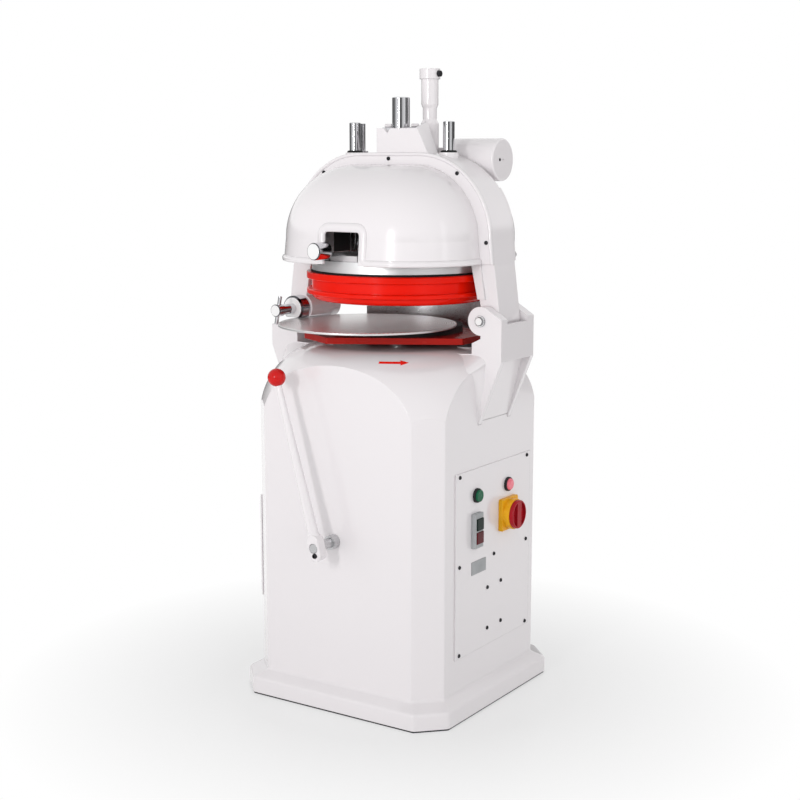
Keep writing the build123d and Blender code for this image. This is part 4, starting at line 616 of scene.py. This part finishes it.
def add_hood_rolls():
    """The smooth rolled edge of both hoods, over the lips of the solids."""
    u, z, half = front_roll_line()
    path, side, out, half = hood_roll(u, z, half, FRONT_FLARE, FRONT_FOOT_Z)
    path = path + np.array([0, FRONT_AXIS_Y, 0])
    front = swept("front_hood_roll", path, side, out, half, ROLL_OUT)
    add_piece("front_hood_roll", [front], white_enamel, "head")
    u = np.linspace(-HOOD_END, HOOD_END, 200)
    z, half = np.full(len(u), REAR_FOOT_Z + ROLL_IN), np.full(len(u), ROLL_HALF)
    path, side, out, half = hood_roll(u, z, half, 0, REAR_FOOT_Z)
    path = path * HALF_TURN + np.array([0, REAR_AXIS_Y, 0])
    rear = swept("rear_hood_roll", path, side * HALF_TURN, out * HALF_TURN, half, ROLL_OUT)
    add_piece("rear_hood_roll", [rear], white_enamel, "head")


def painted_shade_patch(name, u0, u1, z0, z1, flare, foot_z, axis_y, behind):
    """A patch of painted shade, a dark sheet inside the hood: the hood's wall set in by its thickness,
    over some u and z.
    """
    u, z = np.meshgrid(np.linspace(u0, u1, 72), np.linspace(z0, z1, 48), indexing="ij")
    inner = HOOD_WALL + SKIN
    outer_skin = hood_wall(u, z, inner, flare, foot_z)
    inner_skin = hood_wall(u, z, inner + SKIN, flare, foot_z)
    rim = np.concatenate([outer_skin[:, :1], inner_skin, outer_skin[:, ::-1]], axis=1)
    points = (rim * HALF_TURN if behind else rim) + np.array([0, axis_y, 0])
    return grid_mesh(name, points, close_v=True)


def add_hood_painted_shade():
    """Painted shade inside both hoods, dark sheets where the inside is only shaded: beside the notch,
    above it, and all of the rear one.
    """
    top = YOKE_MID + HOOD_R - HOOD_WALL - 2 * SKIN
    gap = NOTCH_HALF + SKIN
    end = HOOD_END + PAINTED_SHADE_PAST_END
    foot = FRONT_FOOT_Z + SKIN
    front = (FRONT_FLARE, FRONT_FOOT_Z, FRONT_AXIS_Y, False)
    patches = [
        painted_shade_patch("painted_shade_left", -end, -gap, foot, top, *front),
        painted_shade_patch("painted_shade_right", gap, end, foot, top, *front),
        painted_shade_patch("painted_shade_top", -gap, gap, NOTCH_TOP_Z + SKIN, top, *front),
    ]
    add_piece("front_hood_painted_shade", patches, hood_painted_shade, "head")
    foot, top = REAR_FOOT_Z + SKIN, REAR_TOP_Z - HOOD_WALL - SKIN
    rear = painted_shade_patch("painted_shade_rear", -end, end, foot, top, 0, REAR_FOOT_Z, REAR_AXIS_Y, True)
    add_piece("rear_hood_painted_shade", [rear], hood_painted_shade, "head")


def add_hood_screws():
    """Dark socket screws on the flange of the front hood."""
    rim = YOKE_R - FLANGE_W / 2
    turn = math.radians(FLANGE_SCREW_ANGLE)
    places = [(0, YOKE_TOP - FLANGE_W / 2)]
    for side in (-1, 1):
        places.append((side * (YOKE_FLAT + rim * math.cos(turn)), YOKE_MID + rim * math.sin(turn)))
        places.append((side * (YOKE_FLAT + rim), YOKE_MID - FLANGE_SCREW_DROP))
    places = [(x, FLANGE_FRONT_Y, z) for x, z in places]
    heads = [socket_screw("flange_screw", place, "-y", SCREW_R, FLANGE_SCREW_H) for place in places]
    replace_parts(add_piece("flange_screws", heads, dark_steel, "head"), "hood_screws")


def add_flange_bead():
    """The raised bead along the outer edge of the front hood's flange: up one side, over the arch and
    down the other."""
    turn = np.linspace(0, np.pi / 2, 40)[1:]
    low = np.linspace(FRONT_FOOT_Z, YOKE_MID, 12)
    flat = np.linspace(YOKE_FLAT, 0, 16)[1:]
    out_low = YOKE_R + KNEE_OUT * (YOKE_MID - low) / (YOKE_MID - KNEE_Z)
    x = np.concatenate([YOKE_FLAT + out_low, YOKE_FLAT + YOKE_R * np.cos(turn), flat])
    z = np.concatenate([low, YOKE_MID + YOKE_R * np.sin(turn), np.full(len(flat), YOKE_TOP)])
    lean = np.concatenate([0 * low, turn, np.full(len(flat), np.pi / 2)])
    side = np.stack([np.cos(lean), 0 * lean, np.sin(lean)], axis=-1)
    edge = np.stack([x, 0 * x + FLANGE_FRONT_Y, z], axis=-1) - BEAD_HALF * side
    edge = np.concatenate([edge, (edge * MIRRORED)[-2::-1]])
    side = np.concatenate([side, (side * MIRRORED)[-2::-1]])
    out = np.zeros_like(side) + np.array([0.0, -1.0, 0.0])
    bead = swept("flange_bead", edge, side, out, np.full(len(edge), BEAD_HALF), BEAD_OUT)
    add_piece("flange_bead", [bead], white_enamel, "head")


def add_spring_plug():
    """The small dark screw in the end of the spring housing."""
    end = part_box("spring_housing")[1][0]
    plug = socket_screw("spring_plug", (end, PIVOT_Y, PIVOT_Z), "x", PLUG_R, PLUG_H)
    add_piece("spring_plug", [plug], dark_steel, "head")


def add_wipers():
    """Black wiper rings round the guide rods where they leave the yoke."""
    bore = GUIDE_R + WIPER_GAP
    profile = [
        (bore, -WIPER_SUNK),
        (WIPER_R, -WIPER_SUNK),
        (WIPER_R, 0.5 * WIPER_H),
        (WIPER_R - WIPER_ROUND, 0.9 * WIPER_H),
        (WIPER_R - 2 * WIPER_ROUND, WIPER_H),
        (bore, 0.7 * WIPER_H),
        (bore, -WIPER_SUNK),
    ]
    places = [(side * GUIDE_X, HEAD_Y, YOKE_TOP) for side in (-1, 1)]
    rings = [turned("wiper", profile, place, "z", count=48) for place in places]
    add_piece("guide_wipers", rings, black_rubber, "head")


# Pieces on the cabinet


def dome_height(x, y):
    """Height of the cabinet's top: flat in the middle, then an ellipse of the distance from the upright
    axis."""
    share = np.clip((np.hypot(x, y) - DOME_FLAT_R) / (DOME_OUT_R - DOME_FLAT_R), 0, 1)
    return BODY_TOP - DOME_H + DOME_H * np.sqrt(1 - share ** 2)


def fairing(front_y):
    """The soft corner between a bracket's front and the cabinet. Its crease follows the dome and then
    the cabinet's side down to the foot of the rib. Across, it is the quadratic curve from a point on
    the cabinet in front of the crease, by way of the crease, to a point on the bracket's front."""
    top_x = np.linspace(FAIRING_START_X, BODY_HALF, FAIRING_TOP_STEPS)
    shoulder_z = dome_height(BODY_HALF, front_y)
    side_z = np.linspace(shoulder_z, RIB_FOOT_Z + FAIRING_FOOT, FAIRING_SIDE_STEPS + 1)[1:]
    x = np.concatenate([top_x, np.full(FAIRING_SIDE_STEPS, BODY_HALF)])
    z = np.concatenate([dome_height(top_x, front_y), side_z])
    lean = np.concatenate([np.linspace(*stretch) for stretch in FAIRING_LEAN])
    away = np.stack([np.cos(lean), 0 * lean, np.sin(lean)], axis=-1)
    grow = np.clip((x - FAIRING_START_X) / FAIRING_RUN, 0, 1)
    room = np.where(x < BODY_HALF, 1.0, (z - RIB_FOOT_Z) / (RIB_TOP_Z - RIB_FOOT_Z)) * RIB_OUT
    size = np.minimum(FAIRING_SIZE * grow ** 2 * (3 - 2 * grow), FAIRING_SHARE * room)
    crease = np.stack([x, 0 * x + front_y, z], axis=-1)
    wider = FAIRING_SPREAD * grow ** 2 * np.exp(-np.clip(shoulder_z - z, 0, None) / FAIRING_FADE)
    ahead = crease - np.stack([0 * size, size + wider, 0 * size], axis=-1)
    over = dome_height(ahead[:, 0], ahead[:, 1])
    ahead[:, 2] = np.where(x < BODY_HALF, over, np.minimum(z, over))
    high = crease + size[:, None] * away
    t = np.linspace(0, 1, 12)[None, :, None]
    curve = (1 - t) ** 2 * ahead[:, None] + 2 * t * (1 - t) * crease[:, None]
    curve = curve + t ** 2 * high[:, None]
    back = high + np.array([0, FAIRING_BACK, 0])
    under = ahead - FAIRING_BACK * away
    return np.concatenate([curve, back[:, None], under[:, None]], axis=1)


def add_fairings():
    """The cast corners at the front of both brackets."""
    right = fairing(RIGHT_FRONT_Y)
    left = fairing(LEFT_FRONT_Y) * MIRRORED
    meshes = []
    for points in (right, left):
        start = points[:1].mean(axis=1, keepdims=True) + 0 * points[:1]
        end = points[-1:].mean(axis=1, keepdims=True) + 0 * points[-1:]
        meshes.append(grid_mesh("fairing", np.concatenate([start, points, end]), close_v=True))
    add_piece("bracket_fairings", meshes, white_skin, "base", sharp=60)


def add_panel_screws():
    """Dark socket screws on the control panel: along both edges and inside."""
    places = [(y, z) for y in PANEL_COLUMNS for z in PANEL_ROWS] + list(PANEL_INNER)
    heads = [socket_screw("panel_screw", (PANEL_X, y, z), "x", SCREW_R, SCREW_H) for y, z in places]
    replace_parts(add_piece("panel_heads", heads, dark_steel, "base"), "panel_screws")


def add_cover_screws():
    """Screws at the corners of the side cover and the rear cover."""
    heads = []
    low, high = (np.array(c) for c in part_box("side_cover"))
    for y in (low[1] + SIDE_SCREW_IN, high[1] - SIDE_SCREW_IN):
        for z in (low[2] + SIDE_SCREW_IN, high[2] - SIDE_SCREW_IN):
            heads.append(socket_screw("side_screw", (low[0], y, z), "-x", SCREW_R, SCREW_H))
    low, high = (np.array(c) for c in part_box("rear_cover"))
    for x in (low[0] + REAR_SCREW_IN, high[0] - REAR_SCREW_IN):
        for z in (low[2] + REAR_SCREW_IN, high[2] - REAR_SCREW_IN):
            heads.append(socket_screw("rear_screw", (x, high[1], z), "y", SCREW_R, SCREW_H))
    add_piece("cover_screws", heads, dark_steel, "base")


def add_lever_screw():
    """The black clamp screw low on the eye of the rounding lever."""
    lean = math.radians(LEVER_LEAN)
    x, y, z = LEVER_AT
    place = (x + CLAMP_SCREW_DROP * math.sin(lean), y, z - CLAMP_SCREW_DROP * math.cos(lean))
    screw = socket_screw("clamp", place, "-y", CLAMP_SCREW_R, CLAMP_SCREW_H)
    add_piece("lever_clamp_screw", [screw], dark_steel, "rounding_lever")


def add_turn_arrow():
    """A plain arrow painted on the dome: a strip along a circle about the upright axis, whose half
    width is that of a bar and then of a head that narrows to a point. Across, it follows the ellipse
    of the dome's shoulder."""
    along, half = np.array(ARROW_OUTLINE).T[:, :, None]
    across = np.linspace(-1, 1, 9)[None, :]
    reach = DOME_OUT_R - DOME_FLAT_R
    middle = math.asin((ARROW_R - DOME_FLAT_R) / reach)
    phi = middle + across * half / ARROW_CURVE_R
    theta = np.radians(ARROW_START + ARROW_TURN * along) + 0 * across
    layers = []
    for lift in (ARROW_LIFT, -ARROW_LIFT):
        radius = DOME_FLAT_R + (reach + lift) * np.sin(phi)
        height = BODY_TOP - DOME_H + (DOME_H + lift) * np.cos(phi)
        layers.append(np.stack([radius * np.sin(theta), -radius * np.cos(theta), height], axis=-1))
    points = np.concatenate([layers[0], layers[1][:, ::-1]], axis=1)
    start, end = points[:1].mean(axis=1, keepdims=True) + 0 * points[:1], points[-1:]
    strip = grid_mesh("arrow", np.concatenate([start, points, end]), close_v=True)
    add_piece("turn_arrow", [strip], red_enamel, "base")


add_hood_rolls()
add_hood_painted_shade()
add_hood_screws()
add_flange_bead()
add_spring_plug()
add_wipers()
add_fairings()
add_panel_screws()
add_cover_screws()
add_lever_screw()
add_turn_arrow()


# Stage, light and camera


def reckon(tree, operation, first, second):
    """Two values worked into one, such as their product."""
    node = tree.nodes.new("ShaderNodeMath")
    node.operation = operation
    tree.links.new(first, node.inputs[0])
    tree.links.new(second, node.inputs[1])
    return node.outputs[0]


def mixed(tree, share, first, second):
    """The first shader, with the second in its place by the share."""
    mix = tree.nodes.new("ShaderNodeMixShader")
    tree.links.new(share, mix.inputs["Fac"])
    tree.links.new(first, mix.inputs[1])
    tree.links.new(second, mix.inputs[2])
    return mix.outputs["Shader"]


def seen_directly(tree):
    """One for rays from the camera, from a mirror or through glass, nothing for the rest."""
    ray = tree.nodes.new("ShaderNodeLightPath").outputs
    mirrored = reckon(tree, "MAXIMUM", ray["Is Glossy Ray"], ray["Is Transmission Ray"])
    return reckon(tree, "MAXIMUM", ray["Is Camera Ray"], mirrored)


def floor_finish():
    """A pale floor that takes the shadow near the object and fades to plain white farther out."""
    material, tree, shader = new_finish("floor_paper")
    shader.inputs["Base Color"].default_value = (*FLOOR_GREY, 1)
    shader.inputs["Roughness"].default_value = FLOOR_ROUGH
    glow = tree.nodes.new("ShaderNodeEmission")
    glow.inputs["Strength"].default_value = 1.0
    place = tree.nodes.new("ShaderNodeTexCoord")
    distance = tree.nodes.new("ShaderNodeVectorMath")
    distance.operation = "LENGTH"
    tree.links.new(place.outputs["Object"], distance.inputs[0])
    white = spread(tree, distance.outputs["Value"], FLOOR_WHITE_NEAR, 1.0, *FLOOR_FADE)
    share = reckon(tree, "MULTIPLY", seen_directly(tree), white)
    paper = mixed(tree, share, shader.outputs["BSDF"], glow.outputs["Emission"])
    tree.links.new(paper, tree.nodes["Material Output"].inputs["Surface"])
    return material


def add_floor():
    """A level sheet at z = 0, as far out each way as its half side."""
    side = np.linspace(-FLOOR_HALF, FLOOR_HALF, 3)
    x, y = np.meshgrid(side, side, indexing="ij")
    mesh = grid_mesh("studio_floor", np.stack([x, y, np.zeros_like(x)], axis=-1))
    mesh.materials.append(floor_finish())
    floor = bpy.data.objects.new("studio_floor", mesh)
    bpy.context.scene.collection.objects.link(floor)


def room_tone(tree, place, height):
    """How bright the room is in a mirror: white, with darker stretches of wall low down."""
    turn = tree.nodes.new("ShaderNodeTexGradient")
    turn.gradient_type = "RADIAL"
    tree.links.new(place, turn.inputs["Vector"])
    walls = shaded(tree, turn.outputs["Fac"], [(share, (tone,) * 3) for share, tone in WALLS])
    return reckon(tree, "MAXIMUM", walls, spread(tree, height, 0.0, 1.0, *WALLS_END))


def set_world():
    """White to the camera, the room in reflections, and otherwise a soft light, weaker overhead."""
    world = bpy.data.worlds.new("studio")
    world.use_nodes = True
    tree = world.node_tree
    place = tree.nodes.new("ShaderNodeTexCoord").outputs["Generated"]
    split = tree.nodes.new("ShaderNodeSeparateXYZ")
    tree.links.new(place, split.inputs["Vector"])
    height = split.outputs["Z"]
    light = tree.nodes["Background"]
    light.inputs["Strength"].default_value = SOFT_LIGHT
    tree.links.new(spread(tree, height, 1.0, OVERHEAD, *WEAKENS), light.inputs["Color"])
    seen = tree.nodes.new("ShaderNodeBackground")
    seen.inputs["Strength"].default_value = 1.0
    camera_ray = tree.nodes.new("ShaderNodeLightPath").outputs["Is Camera Ray"]
    tone = reckon(tree, "MAXIMUM", camera_ray, room_tone(tree, place, height))
    tree.links.new(tone, seen.inputs["Color"])
    share = seen_directly(tree)
    studio = mixed(tree, share, light.outputs["Background"], seen.outputs["Background"])
    tree.links.new(studio, tree.nodes["World Output"].inputs["Surface"])
    bpy.context.scene.world = world


def softbox(name, at, target, size, power):
    """A lamp with a rectangular face, turned to the target."""
    lamp = bpy.data.lights.new(name, "AREA")
    lamp.shape = "RECTANGLE"
    lamp.size = size[0]
    lamp.size_y = size[1]
    lamp.energy = power
    holder = bpy.data.objects.new(name, lamp)
    holder.location = at
    aim = np.array(target) - np.array(at)
    flat = math.hypot(aim[0], aim[1])
    tilt, turn = math.atan2(flat, -aim[2]), math.atan2(aim[1], aim[0]) - math.pi / 2
    holder.rotation_euler = Euler((tilt, 0, turn))
    bpy.context.scene.collection.objects.link(holder)


add_floor()
set_world()
softbox("key_light", at=(0.17, -2.65, 1.30), target=(0, 0, 0.85), size=(0.2, 0.7), power=15.5)
softbox("side_light", at=(3.8, -0.4, 1.9), target=(0, 0, 0.7), size=(0.5, 1.8), power=2.5)

camera = bpy.data.cameras.new("photo_camera")
camera.sensor_fit = "HORIZONTAL"
camera.sensor_width = SENSOR_MM
camera.lens = LENS_MM
camera.clip_end = SIGHT_END
viewer = bpy.data.objects.new("photo_camera", camera)
viewer.location = CAMERA_AT
viewer.rotation_euler = Euler((math.radians(90 - CAMERA_TILT), 0, math.radians(CAMERA_TURN)))
bpy.context.scene.collection.objects.link(viewer)
bpy.context.scene.camera = viewer
bpy.context.scene.view_settings.view_transform = "Standard"
